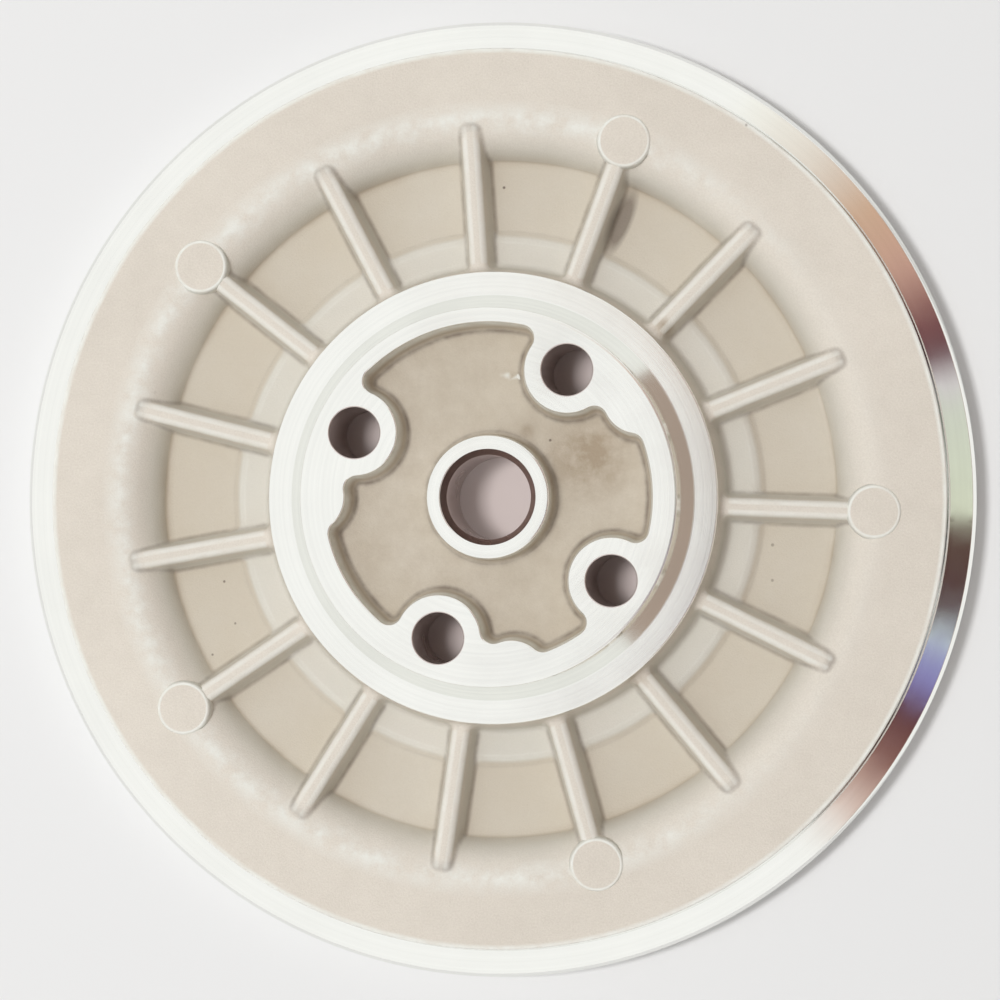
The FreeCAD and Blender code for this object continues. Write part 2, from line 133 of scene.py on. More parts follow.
class PocketSizes(bpy.types.PropertyGroup):
    """Pocket of the hub with its bosses, webs, collar and bores."""

    floor_height: length("Floor height", "Pocket floor above the back", 12.6)
    wall_radius: length("Wall radius", "Outer wall of the pocket", 27.3)
    lobe_radius: length("Lobe radius", "Outer wall of the deeper lobe", 29.0)
    corner: length("Corner", "Rounded corners of the outline", 2.2)
    draft: angle("Draft", "Slant of the pocket walls", 9.0)
    foot_round: length("Foot rounding", "Hollow at the foot of the walls", 1.2)
    bolt_circle: length("Bolt circle", "Centres of the bolt bosses from the axis", 24.7)
    boss_radius: length("Boss radius", "One bolt boss", 7.1)
    hole_radius: length("Hole radius", "Clearance hole of one bolt", 4.2)
    upper_left: angle("Upper left", "Direction of a bolt boss", 154.3)
    upper_right: angle("Upper right", "Direction of a bolt boss", 57.8)
    lower_right: angle("Lower right", "Direction of a bolt boss", 326.0)
    lower_left: angle("Lower left", "Direction of a bolt boss", 250.5)
    web_circle: length("Web circle", "Centres of the round webs from the axis", 29.7)
    web_radius: length("Web radius", "One round web", 5.8)
    web_left: angle("Left web", "Direction of a round web", 180.0)
    web_right: angle("Right web", "Direction of a round web", 33.0)
    web_lower: angle("Lower web", "Direction of a round web", 277.6)
    collar_radius: length("Collar radius", "Bearing collar in the middle of the pocket", 10.2)
    collar_draft: angle("Collar draft", "Slant of the collar's wall", 3.0)
    collar_foot: length("Collar foot", "Hollow at the foot of the collar", 1.0)
    saddle_direction: angle("Saddle", "Direction of the low saddle beside the collar", 76.0)
    saddle_width: length("Saddle width", "Crest of the saddle", 3.0)
    saddle_rise: length("Saddle rise", "Saddle above the pocket floor", 0.6)
    bore_radius: length("Bore radius", "Shaft bore", 7.0)
    mouth_radius: length("Mouth radius", "Bevelled mouth of the bore at the collar's face", 8.0)
    mouth_height: length("Mouth height", "Lower end of the bevelled mouth above the back", 16.4)


class FinishColours(bpy.types.PropertyGroup):
    """Colours of the casting and its machined faces."""

    cast_light: colour("Cast skin", "Sand-blasted skin where it is clean", 0.80, 0.745, 0.665)
    cast_dark: colour("Cast shade", "Duller patches of the skin", 0.70, 0.645, 0.57)
    # Recess and Slope: the skin lower down, partly its own tone and partly painted shade
    recess: colour("Recess", "Skin of the recess floor", 0.63, 0.57, 0.475)
    slope: colour("Slope", "Skin of the slope, the flanks and the low step", 0.69, 0.665, 0.60)
    # Residue, also used as painted shade at the foot of the slope, in the stains and over the pocket floor
    residue_and_shade: colour("Residue", "Brown residue at the foot of the slope and in the pocket", 0.42, 0.34, 0.25)
    # Painted shade in the hollows, and the colour of the pores and of the painted shadow beside a rib
    pits_and_shade: colour("Crevices", "Dirt in the hollows", 0.20, 0.16, 0.13)
    # Worn metal, also used for painted highlights on the lip, the crests and the shoulders
    worn: colour("Worn edges", "Brighter metal on the crests, the lip and the edges", 0.85, 0.85, 0.80)
    turned: colour("Turned faces", "Bright faces of the hub and the collar", 0.925, 0.93, 0.90)
    mirror: colour("Rim", "Mirror-turned rim", 0.925, 0.93, 0.90)
    bored: colour("Bores", "Walls of the bores", 0.66, 0.58, 0.55)
    table: colour("Table", "Pale table under the plate", 0.765, 0.765, 0.765)
    # Painted shade under the plate, seen through the bores
    mat: colour("Mat", "Patch of the table right under the plate", 0.66, 0.58, 0.56)


class StageSizes(bpy.types.PropertyGroup):
    """Camera and light."""

    camera_distance: length("Camera distance", "Camera from the middle of the plate", 700.0)
    lens: FloatProperty(
        name="Lens", description="Focal length in millimetres", default=150.5, min=1.0, unit="CAMERA"
    )
    lean_x: angle("Lean right", "Camera leaning from the axis towards the right", 7.2)
    lean_y: angle("Lean up", "Camera leaning from the axis towards the top", -1.19)
    aim_x: length("Aim right", "Point that the camera looks at", 0.685)
    aim_y: length("Aim up", "Point that the camera looks at", -0.272)
    aim_z: length("Aim height", "Point that the camera looks at, above the back", 7.0)
    table_radius: length("Table radius", "Round table top", 1500.0)
    # Pale backdrop beside the plate, and painted light where the table shows through the bore
    glow: FloatProperty(name="Table glow", description="Daylight of the table itself", default=0.12)
    window_power: FloatProperty(
        name="Window", description="Power of the soft lamp in watts", default=25.0, unit="POWER"
    )
    window_width: length("Window width", "Soft lamp from left to right", 300.0)
    window_depth: length("Window depth", "Soft lamp from top to bottom", 360.0)
    window_place: FloatVectorProperty(
        name="Window place", description="Middle of the soft lamp", default=(-0.47, 0.02, 1.95), unit="LENGTH"
    )
    room: colour("Room", "Light of the room", 1.0, 1.0, 0.985)
    overhead: FloatProperty(name="Overhead", description="Light from straight above", default=1.0)
    around: FloatProperty(name="Around", description="Light from halfway up", default=0.47)
    horizon: FloatProperty(name="Horizon", description="Light from the sides", default=0.4)
    mirrored_room: FloatProperty(name="Mirrored room", description="Light that metal mirrors", default=0.97)
    board: colour("Board", "Dark board on the right", 0.05, 0.03, 0.025)
    mirrored: colour("Mirrored board", "Dark board as the machined faces mirror it", 0.42, 0.33, 0.28)
    board_reach: length("Board reach", "Dark board from the plate", 1100.0)
    board_foot: length("Board foot", "Lower edge of the dark board", 250.0)
    board_height: length("Board height", "Top edge of the dark board", 2200.0)
    board_side: angle("Board side", "Half of the arc that the dark board covers", 48.0)
    board_turn: angle("Board turn", "Direction of the dark board's middle", -2.5)
    card_aim: length("Card aim", "Where the rim mirrors the card, from the axis", 77.5)
    card_height: length("Card height", "Coloured card above the plate", 1400.0)
    card_width: length("Card width", "Coloured card, measured away from its middle", 300.0)


def settings():
    """Gives the property groups of the open scene."""
    scene = bpy.context.scene
    return scene.seal_plate, scene.seal_ribs, scene.seal_pocket, scene.seal_finish, scene.seal_stage


# Sections and outlines


def rounded_section(corners, steps=3):
    """Walks through corners, each (across, up) or (across, up, rounding), and rounds them."""
    points = [corner[:2] for corner in corners]
    walked = []
    for index, corner in enumerate(corners):
        here = Vector(points[index])
        rounding = corner[2] if len(corner) > 2 else 0.0
        if not rounding:
            walked.append(tuple(here))
            continue
        back = (Vector(points[index - 1]) - here).normalized()
        ahead = (Vector(points[index + 1]) - here).normalized()
        half = math.acos(max(-1.0, min(1.0, back.dot(ahead)))) / 2
        middle = here + (back + ahead).normalized() * (rounding / math.sin(half))
        first = here + back * (rounding / math.tan(half)) - middle
        last = here + ahead * (rounding / math.tan(half)) - middle
        sweep = first.angle_signed(last)
        for step in range(steps + 1):
            turn = -sweep * step / steps
            cosine, sine = math.cos(turn), math.sin(turn)
            spoke = Vector((first.x * cosine - first.y * sine, first.x * sine + first.y * cosine))
            walked.append(tuple(middle + spoke))
    return walked


def round_union(first, second, rounding):
    """Joins two distance fields with a round hollow between them."""
    near_first = np.maximum(rounding - first, 0.0)
    near_second = np.maximum(rounding - second, 0.0)
    joined = np.maximum(rounding, np.minimum(first, second)) - np.hypot(near_first, near_second)
    return joined, 2 * near_first * near_second / rounding**2


def round_overlap(first, second, rounding):
    """Keeps what two distance fields share, with a rounded edge."""
    over_first = np.maximum(first + rounding, 0.0)
    over_second = np.maximum(second + rounding, 0.0)
    return np.minimum(-rounding, np.maximum(first, second)) + np.hypot(over_first, over_second)


def recess_field(plate, ribs, x, y, z):
    """Gives the distance to the cast skin round the hub, negative inside, and how deep a hollow is."""
    radius = np.hypot(x, y)
    floor = z - plate.floor_height

    run = plate.step_radius - plate.step_top_radius
    rise = plate.step_height - plate.floor_height
    edge = radius - plate.step_top_radius + (z - plate.step_height) * run / rise
    edge = edge * rise / math.hypot(run, rise)
    step = round_overlap(z - plate.step_height, edge, plate.step_edge)

    fall = plate.ring_height - plate.floor_height
    width = plate.lip_radius - plate.slope_foot_radius
    slope_round = (width**2 + fall**2) / (2 * fall)
    inwards = plate.lip_radius - radius
    above = np.maximum(z - plate.ring_height + slope_round, 0.0)
    slope = np.where(inwards > 0, np.hypot(inwards, above) - slope_round, z - plate.ring_height)

    cosine, sine = math.cos(ribs.draft), math.sin(ribs.draft)
    aside = np.hypot(np.maximum(np.abs(y) - ribs.crest_flat, 0.0), np.maximum(x - ribs.nose_radius, 0.0))
    up = z - ribs.crest_height + ribs.crest_round
    crest = np.hypot(aside, up) - ribs.crest_round
    flank = aside * cosine + up * sine - ribs.crest_round
    rib = np.where(up * cosine - aside * sine > 0, crest, flank)

    run = plate.hub_slant
    rise = plate.ledge_height - plate.step_height
    hub = (radius - plate.hub_radius - (plate.ledge_height - z) * run / rise) * rise / math.hypot(run, rise)

    skin, hollow_step = round_union(floor, step, 0.3 * MM)
    skin, hollow_slope = round_union(skin, slope, 0.6 * MM)
    skin, hollow_rib = round_union(skin, rib, ribs.foot_round)
    skin, hollow_hub = round_union(skin, hub, plate.hub_foot)
    # These hollow weights set how much painted shade each hollow gets
    hollows = [0.5 * hollow_step, 0.2 * hollow_slope, 0.8 * hollow_rib, 0.4 * hollow_hub]
    return skin, np.maximum.reduce(hollows)


def skin_height(plate, ribs, x, y):
    """Finds the height of the cast skin above each point, and how deep a hollow it lies in."""
    low = np.full(x.shape, plate.floor_height - MM)
    high = np.full(x.shape, plate.hub_height)
    for _ in range(32):
        middle = (low + high) / 2
        inside = recess_field(plate, ribs, x, y, middle)[0] < 0
        low, high = np.where(inside, middle, low), np.where(inside, high, middle)
    height = (low + high) / 2
    return height, recess_field(plate, ribs, x, y, height)[1]


def bay_directions(ribs, radius):
    """Gives the directions of a bay's columns at a radius: beside the rib they run parallel to it."""
    beside = (0, 0.3, 0.6, 0.86, 1.08, 1.26, 1.4, 1.5, 1.6, 1.72, 1.86, 2.0, 2.16, 2.34, 2.56, 2.85, 3.3)
    half_bay = math.pi / ribs.count
    parallel = [math.asin(offset * MM / radius) for offset in beside]
    between = 6
    open_floor = [
        parallel[-1] + (half_bay - parallel[-1]) * step / between for step in range(1, between + 1)
    ]
    half = parallel + open_floor
    return np.array([-turn for turn in reversed(half[1:])] + half)


def bay_rows(plate):
    """Lists a bay's rows from the hub face to the back, each (radius, height or None, finish after it)."""
    edge = plate.machined_edge
    rows = []

    def walk(corners, finish):
        rows.extend((across, up, finish) for across, up in rounded_section(corners))

    walk([(plate.spigot_radius - 2 * edge, plate.hub_height), (plate.spigot_radius, plate.hub_height, edge),
          (plate.spigot_foot_radius, plate.ledge_height, edge),
          (plate.hub_radius, plate.ledge_height, edge),
          (plate.hub_radius + 0.06 * MM, plate.ledge_height - 0.4 * MM)], TURNED)
    rows[-1] = (*rows[-1][:2], CAST)
    wall = np.linspace(plate.hub_radius + 0.12 * MM, plate.hub_radius + plate.hub_slant, 12)
    foot = plate.hub_radius + plate.hub_slant + np.array([0.15, 0.3, 0.5, 0.75, 1.05, 1.5, 2.4, 3.3]) * MM
    step = plate.step_top_radius + np.array(
        [-0.75, -0.4, -0.15, 0.05, 0.3, 0.6, 0.9, 1.15, 1.35, 1.55, 1.9, 2.6, 3.6]
    ) * MM
    floor = np.linspace(plate.step_top_radius + 5 * MM, plate.slope_foot_radius - 1.4 * MM, 6)
    slope = plate.slope_foot_radius + np.array(
        [-0.8, -0.4, -0.2, -0.08, 0.02, 0.12, 0.24, 0.4, 0.62, 0.9, 1.3, 1.8, 2.4, 3.1, 3.8, 4.5, 5.2, 5.7,
         6.1, 6.5, 6.9, 7.3, 7.7, 8.1, 8.6, 9.4]
    ) * MM
    rows.extend((radius, None, CAST) for radius in (*wall, *foot, *step, *floor, *slope))
    walk([(plate.ring_radius - 6 * MM, plate.ring_height), (plate.ring_radius - MM, plate.ring_height),
          (plate.ring_radius, plate.ring_height, 1.2 * edge),
          (plate.ring_radius + WALL_TOP * plate.ring_slant, plate.ring_height - 2 * edge)], CAST)
    rows[-1] = (*rows[-1][:2], TURNED)
    return rows


def bay_mesh(plate, ribs):
    """Makes one bay of the plate, a rib with half of the recess on each side of it."""
    rows = bay_rows(plate)
    edge = plate.machined_edge
    outer = rounded_section(
        [(plate.ring_radius + WALL_FOOT * plate.ring_slant, plate.rim_height + 4 * edge),
         (plate.ring_radius + plate.ring_slant, plate.rim_height, 0.6 * edge),
         (plate.ring_radius + 1.5 * MM, plate.rim_height), (plate.rim_radius - 1.6 * MM, plate.rim_height),
         (plate.rim_radius - plate.rim_edge, plate.rim_height, 0.15 * MM),
         (plate.rim_radius, plate.rim_height - plate.rim_edge, 0.15 * MM),
         (plate.rim_radius, plate.rim_height - 2.5 * MM), (plate.rim_radius, 2 * MM),
         (plate.rim_radius, 0.0, 0.3 * MM), (plate.rim_radius - 3 * MM, 0.0),
         (plate.spigot_radius + 8 * MM, 0.0), (plate.spigot_radius, 0.0)]
    )
    for across, up in outer:
        finish = MIRROR if up > MM else BACK
        if across < plate.ring_radius + plate.ring_slant + 0.2 * MM and up > plate.rim_height + 0.01 * MM:
            finish = TURNED
        rows.append((across, up, finish))

    points, hollows, finishes, faces = [], [], [], []
    for across, up, finish in rows:
        turns = bay_directions(ribs, across)
        x, y = across * np.cos(turns), across * np.sin(turns)
        if up is None:
            height, hollow = skin_height(plate, ribs, x, y)
        else:
            height, hollow = np.full(x.shape, up), np.zeros(x.shape)
        points.append(np.stack([x, y, height], axis=1))
        hollows.append(hollow)
    columns = len(points[0])
    for row in range(len(rows) - 1):
        for column in range(columns - 1):
            corner = row * columns + column
            faces.append((corner, corner + columns, corner + columns + 1, corner + 1))
            finishes.append(rows[row][2])
    return make_mesh("rib_bay", np.concatenate(points), faces, finishes, np.concatenate(hollows))


def make_mesh(name, points, faces, finishes, hollows=None):
    """Makes a mesh with its finish on each face and its hollows on each point."""
    mesh = bpy.data.meshes.new(name)
    mesh.from_pydata([tuple(point) for point in points], [], faces)
    finish = mesh.attributes.new("finish", "INT", "FACE")
    finish.data.foreach_set("value", np.array(finishes, dtype=np.int32))
    hollow = mesh.attributes.new("hollow", "FLOAT", "POINT")
    if hollows is not None:
        hollow.data.foreach_set("value", np.array(hollows, dtype=np.float32))
    mesh.validate()
    return mesh


class Patchwork:
    """Collects strips, fans and flat sheets until they are made one mesh."""

    def __init__(self):
        self.points, self.faces, self.finishes, self.hollows = [], [], [], []

    def add(self, points, faces, finish, hollows=None):
        """Adds points and faces that count from the first of these points."""
        start = len(self.points)
        self.points.extend(points)
        self.hollows.extend([0.0] * len(points) if hollows is None else hollows)
        self.faces.extend(tuple(start + corner for corner in face) for face in faces)
        self.finishes.extend([finish] * len(faces))

    def strips(self, loops, finish, hollows=None, flip=False):
        """Joins closed loops of equal length one after the other."""
        size = len(loops[0])
        faces = []
        for row in range(len(loops) - 1):
            for column in range(size):
                beside = (column + 1) % size
                start, after = row * size, (row + 1) * size
                face = (start + column, after + column, after + beside, start + beside)
                faces.append(face[::-1] if flip else face)
        rows = None if hollows is None else [hollow for row in hollows for hollow in row]
        self.add([point for loop in loops for point in loop], faces, finish, rows)

    def sheet(self, outlines, inner_points, keep, height, finish, flip=False):
        """Fills the area between closed outlines with triangles."""
        flat, edges = [], []
        for outline in outlines:
            start, size = len(flat), len(outline)
            flat.extend(Vector(point[:2]) / MM for point in outline)
            edges.extend((start + index, start + (index + 1) % size) for index in range(size))
        flat.extend(Vector(point) / MM for point in inner_points)
        made = delaunay_2d_cdt(flat, edges, [], 0, 1e-6)
        points = np.array([tuple(point) for point in made[0]]) * MM
        faces = [face for face in made[2] if keep(points[list(face)].mean(axis=0))]
        if flip:
            faces = [face[::-1] for face in faces]
        heights = [height(point) if callable(height) else height for point in points]
        self.add([(point[0], point[1], up) for point, up in zip(points, heights)], faces, finish)


def circle_loop(centre, radius, height, count, start=0.0):
    """Gives the points of a level circle."""
    return [
        (centre[0] + radius * math.cos(start + TURN * step / count),
         centre[1] + radius * math.sin(start + TURN * step / count), height)
        for step in range(count)
    ]


def polar(radius, turn):
    """Gives a point of the plan from its distance and direction."""
    return np.array([radius * math.cos(turn), radius * math.sin(turn)])


def pocket_arcs(pocket):
    """Lists the arcs of the pocket outline counterclockwise, each (centre, radius, side, first, last)."""
    boss = (pocket.boss_radius, pocket.bolt_circle)
    web = (pocket.web_radius, pocket.web_circle)
    order = [
        (*web, pocket.web_right), (*boss, pocket.upper_right), (pocket.lobe_radius, 0.0, None),
        (*boss, pocket.upper_left), (*web, pocket.web_left), (pocket.wall_radius, 0.0, None),
        (*boss, pocket.lower_left), (*web, pocket.web_lower), (pocket.wall_radius, 0.0, None),
        (*boss, pocket.lower_right), (pocket.wall_radius, 0.0, None),
    ]
    arcs = [(polar(reach, turn or 0.0), radius, turn is None) for radius, reach, turn in order]
    corners = []
    for (centre, radius, wall), (centre_after, radius_after, wall_after) in zip(arcs, arcs[1:] + arcs[:1]):
        reach = radius - pocket.corner if wall else radius + pocket.corner
        reach_after = radius_after - pocket.corner if wall_after else radius_after + pocket.corner
        span = centre_after - centre
        gap = math.hypot(*span)
        along = (gap**2 + reach**2 - reach_after**2) / (2 * gap)
        aside = math.sqrt(reach**2 - along**2) * (-1 if wall or wall_after else 1)
        ahead = span / gap
        corners.append(centre + along * ahead + aside * np.array([-ahead[1], ahead[0]]))
    outline = []

    def add(centre, radius, side, start, end):
        first, last = (math.atan2(*(point - centre)[::-1]) for point in (start, end))
        if side > 0 and last < first:
            last += TURN
        if side < 0 and last > first:
            last -= TURN
        outline.append((centre, radius, side, first, last))

    def touch(centre, radius, corner):
        return centre + (corner - centre) * radius / math.hypot(*(corner - centre))

    for index, (centre, radius, wall) in enumerate(arcs):
        before, after = corners[index - 1], corners[index]
        centre_after, radius_after = arcs[(index + 1) % len(arcs)][:2]
        start, end = touch(centre, radius, before), touch(centre, radius, after)
        add(centre, radius, 1 if wall else -1, start, end)
        add(after, pocket.corner, 1, end, touch(centre_after, radius_after, after))
    return outline


def pocket_loop(arcs, inset, height):
    """Gives the pocket outline moved into the pocket by an inset."""
    loop = []
    for centre, radius, side, first, last in arcs:
        steps = max(5, round(abs(last - first) * radius / (0.5 * MM)))
        for step in range(steps):
            turn = first + (last - first) * step / steps
            reach = radius - side * inset
            loop.append((centre[0] + reach * math.cos(turn), centre[1] + reach * math.sin(turn), height))
    return loop


def inside_loop(loop, point):
    """Tells whether a point of the plan lies inside a closed outline."""
    corners = np.array([corner[:2] for corner in loop])
    after = np.roll(corners, -1, axis=0)
    crossing = (corners[:, 1] > point[1]) != (after[:, 1] > point[1])
    rise = np.where(crossing, after[:, 1] - corners[:, 1], 1.0)
    reach = corners[:, 0] + (point[1] - corners[:, 1]) * (after[:, 0] - corners[:, 0]) / rise
    return bool(np.count_nonzero(crossing & (reach > point[0])) % 2)


def saddle_height(pocket, point):
    """Gives the pocket floor's height, raised where the low saddle runs from the collar to a boss."""
    ahead = polar(1.0, pocket.saddle_direction)
    along = float(np.dot(point[:2], ahead))
    aside = abs(float(ahead[0] * point[1] - ahead[1] * point[0]))
    spread = (aside - pocket.saddle_width / 2) / (4 * MM)
    side = 1.0 if spread < 0 else 0.5 + 0.5 * math.cos(math.pi * min(1.0, spread))
    near = pocket.bolt_circle - pocket.boss_radius
    return pocket.floor_height + (pocket.saddle_rise * side if 0 < along < near + 3 * MM else 0.0)


def hub_mesh(plate, ribs, pocket):
    """Makes the hub face, the pocket with its collar, the bores and the middle of the back."""
    work = Patchwork()
    top, edge = plate.hub_height, plate.machined_edge
    arcs = pocket_arcs(pocket)

    wall_slant = math.tan(pocket.draft)
    depth = top - pocket.floor_height
    wall = rounded_section(
        [(-2 * edge, top), (0.0, top, edge), (depth * wall_slant, pocket.floor_height, pocket.foot_round),
         (depth * wall_slant + 1.5 * pocket.foot_round, pocket.floor_height)], 5
    )[1:-1]
    loops, hollows = [], []
    for inset, height in wall:
        loop = pocket_loop(arcs, inset, height)
        low = (top - height) / depth
        loops.append([
            (x, y, z + low * (saddle_height(pocket, (x, y)) - pocket.floor_height)) for x, y, z in loop
        ])
        # Hollow weight at the foot of the wall, for painted shade
        hollows.append([max(0.0, 1 - abs(low - 0.96) / 0.14)] * len(loop))
    work.strips(loops[:6], TURNED, hollows[:6])
    work.strips(loops[5:], CAST, hollows[5:])
    pocket_edge, pocket_foot = loops[0], loops[-1]

    collar_slant = math.tan(pocket.collar_draft)
    collar = rounded_section(
        [(pocket.collar_radius + depth * collar_slant + 2 * pocket.collar_foot, pocket.floor_height),
         (pocket.collar_radius + depth * collar_slant, pocket.floor_height, pocket.collar_foot),
         (pocket.collar_radius, top, 1.5 * edge), (pocket.mouth_radius, top, edge),
         (pocket.bore_radius, pocket.mouth_height, edge), (pocket.bore_radius, 0.0, edge),
         (pocket.bore_radius + 2 * edge, 0.0)], 5
    )[1:-1]
    rounds = 144
    centre = (0.0, 0.0)
    collar_loops = []
    for across, up in collar:
        low = max(0.0, (top - up) / depth) if across > pocket.mouth_radius else 0.0
        collar_loops.append([
            (x, y, z + low**2 * (saddle_height(pocket, (x, y)) - pocket.floor_height))
            for x, y, z in circle_loop(centre, across, up, rounds)
        ])
    # Hollow weight at the foot of the collar, for painted shade
    foot_hollow = [[1.0 - step / 6] * rounds for step in range(6)] + [[0.0] * rounds]
    work.strips(collar_loops[:7], CAST, foot_hollow)
    work.strips(collar_loops[6:18], TURNED)
    work.strips(collar_loops[17:], BORED)
    collar_foot, bore_back = collar_loops[0], collar_loops[-1]

    hole_edges, hole_backs = [], []
    for turn in (pocket.upper_left, pocket.upper_right, pocket.lower_right, pocket.lower_left):
        middle = polar(pocket.bolt_circle, turn)
        hole = rounded_section(
            [(pocket.hole_radius + 2 * edge, top), (pocket.hole_radius, top, edge),
             (pocket.hole_radius, 0.0, edge), (pocket.hole_radius + 2 * edge, 0.0)]
        )[1:-1]
        hole_loops = [circle_loop(middle, across, up, 80) for across, up in hole]
        work.strips(hole_loops, BORED)
        hole_edges.append(hole_loops[0])
        hole_backs.append(hole_loops[-1])

    def rim_loop(radius, height):
        turns = [
            ribs.first + TURN * bay / ribs.count + turn
            for bay in range(ribs.count) for turn in bay_directions(ribs, radius)[:-1]
        ]
        return [(radius * math.cos(turn), radius * math.sin(turn), height) for turn in turns]

    def between_loops(outside, inside):
        def keep(point):
            return inside_loop(outside, point) and not any(inside_loop(loop, point) for loop in inside)

        return keep

    rim = rim_loop(plate.spigot_radius - 2 * edge, top)
    inside = [pocket_edge, *hole_edges]
    work.sheet([rim, *inside], [], between_loops(rim, inside), top, TURNED)

    foot_radius = math.hypot(*collar_foot[0][:2])
    spacing = 0.9 * MM
    reach = int(pocket.lobe_radius / spacing) + 1
    inner = []
    for row in range(-reach, reach + 1):
        for column in range(-reach, reach + 1):
            point = (spacing * (column + 0.5 * (row % 2)), spacing * 0.87 * row)
            gaps = np.hypot(*(np.array([corner[:2] for corner in pocket_foot]) - point).T)
            if gaps.min() > 0.5 * spacing and math.hypot(*point) > foot_radius + 0.5 * spacing:
                if inside_loop(pocket_foot, point):
                    inner.append(point)
    work.sheet([pocket_foot, collar_foot], inner, between_loops(pocket_foot, [collar_foot]),
               lambda point: saddle_height(pocket, point), CAST)

    rim = rim_loop(plate.spigot_radius, 0.0)
    inside = [bore_back, *hole_backs]
    work.sheet([rim, *inside], [], between_loops(rim, inside), 0.0, BACK, flip=True)
    return make_mesh("hub", work.points, work.faces, work.finishes, work.hollows)


def pad_mesh(plate, ribs):
    """Makes one ejector pad, a low round boss on the first rib's nose."""
    work = Patchwork()
    centre = (ribs.pad_circle, 0.0)
    section = rounded_section(
        [(0.9 * ribs.pad_radius, ribs.pad_height), (ribs.pad_radius, ribs.pad_height, 0.25 * MM),
         (ribs.pad_radius + 0.45 * MM, plate.ring_height - 0.25 * MM),
         (ribs.pad_radius + 0.55 * MM, ribs.pad_root)]
    )
    rounds = 72
    work.strips([circle_loop(centre, across, up, rounds) for across, up in section], CAST)
    ends = ((section[0][0], ribs.pad_height, False), (section[-1][0], ribs.pad_root, True))
    for across, up, flip in ends:
        rings = [circle_loop(centre, across * share, up, rounds) for share in (1.0, 0.66, 0.33)]
        work.strips(rings, CAST, flip=not flip)
        fan = [(step, (step + 1) % rounds, rounds) for step in range(rounds)]
        if flip:
            fan = [face[::-1] for face in fan]
        work.add([*rings[-1], (*centre, up)], fan, CAST)
    return make_mesh("ejector_pad", work.points, work.faces, work.finishes, work.hollows)


# Geometry nodes


def node(tree, kind, inputs=None, **options):
    """Adds a node, sets its options, and sets or links its inputs."""
    made = tree.nodes.new(kind)
    for key, value in options.items():
        setattr(made, key, value)
    for key, value in (inputs or {}).items():
        if isinstance(value, bpy.types.NodeSocket):
            tree.links.new(value, made.inputs[key])
        else:
            made.inputs[key].default_value = value
    return made


FINISH_NAMES = ("Cast Skin", "Turned Faces", "Rim", "Bores", "Back")


def round_tree():
    """Makes the tree that repeats a mesh round the bore axis, joins it to a core and paints it."""
    tree = bpy.data.node_groups.new("repeat_round_bore", "GeometryNodeTree")
    tree.is_modifier = True
    tree.interface.new_socket("Geometry", in_out="INPUT", socket_type="NodeSocketGeometry")
    tree.interface.new_socket("Copies", in_out="INPUT", socket_type="NodeSocketInt")
    tree.interface.new_socket("First Direction", in_out="INPUT", socket_type="NodeSocketFloat")
    tree.interface.new_socket("Core", in_out="INPUT", socket_type="NodeSocketObject")
    tree.interface.new_socket("Weld Distance", in_out="INPUT", socket_type="NodeSocketFloat")
    for name in FINISH_NAMES:
        tree.interface.new_socket(name, in_out="INPUT", socket_type="NodeSocketMaterial")
    tree.interface.new_socket("Geometry", in_out="OUTPUT", socket_type="NodeSocketGeometry")
    given = tree.nodes.new("NodeGroupInput").outputs

    points = node(tree, "GeometryNodePoints", {"Count": given["Copies"]})
    share = node(tree, "ShaderNodeMath", {0: TURN, 1: given["Copies"]}, operation="DIVIDE")
    index = node(tree, "GeometryNodeInputIndex")
    turned = node(tree, "ShaderNodeMath", {
        0: index.outputs[0], 1: share.outputs[0], 2: given["First Direction"]}, operation="MULTIPLY_ADD")
    rotation = node(tree, "ShaderNodeCombineXYZ", {"Z": turned.outputs[0]})
    copies = node(tree, "GeometryNodeInstanceOnPoints", {
        "Points": points.outputs[0], "Instance": given["Geometry"], "Rotation": rotation.outputs[0]})
    core = node(tree, "GeometryNodeObjectInfo", {"Object": given["Core"]}, transform_space="ORIGINAL")
    joined = tree.nodes.new("GeometryNodeJoinGeometry")
    tree.links.new(core.outputs["Geometry"], joined.inputs[0])
    tree.links.new(copies.outputs[0], joined.inputs[0])
    real = node(tree, "GeometryNodeRealizeInstances", {"Geometry": joined.outputs[0]})
    welded = node(tree, "GeometryNodeMergeByDistance", {
        "Geometry": real.outputs[0], "Distance": given["Weld Distance"]})
    last = node(tree, "GeometryNodeSetShadeSmooth", {"Geometry": welded.outputs[0]}).outputs[0]
    finish = node(tree, "GeometryNodeInputNamedAttribute", {"Name": "finish"}, data_type="INT")
    value = next(socket for socket in finish.outputs if socket.enabled)
    for index, name in enumerate(FINISH_NAMES):
        same = node(tree, "FunctionNodeCompare", data_type="INT", operation="EQUAL")
        given_ints = [socket for socket in same.inputs if socket.enabled]
        tree.links.new(value, given_ints[0])
        given_ints[1].default_value = index
        last = node(tree, "GeometryNodeSetMaterial", {
            "Geometry": last, "Selection": same.outputs[0], "Material": given[name]}).outputs[0]
    out = tree.nodes.new("NodeGroupOutput")
    tree.links.new(last, out.inputs[0])
    return tree


def repeated(name, mesh, copies, first, core=None):
    """Repeats a mesh round the bore and gives the result as one plain object."""
    tree = bpy.data.node_groups.get("repeat_round_bore") or round_tree()
    made = bpy.data.objects.new(name, mesh)
    bpy.context.scene.collection.objects.link(made)
    modifier = made.modifiers.new("round_bore", "NODES")
    modifier.node_group = tree
    values = {"Copies": copies, "First Direction": first, "Weld Distance": 0.002 * MM}
    if core:
        values["Core"] = core
    values |= dict(zip(FINISH_NAMES, finishes()))
    for item in tree.interface.items_tree:
        if item.in_out == "INPUT" and item.name in values:
            modifier[item.identifier] = values[item.name]
    made.update_tag()
    return plain_copy(made)


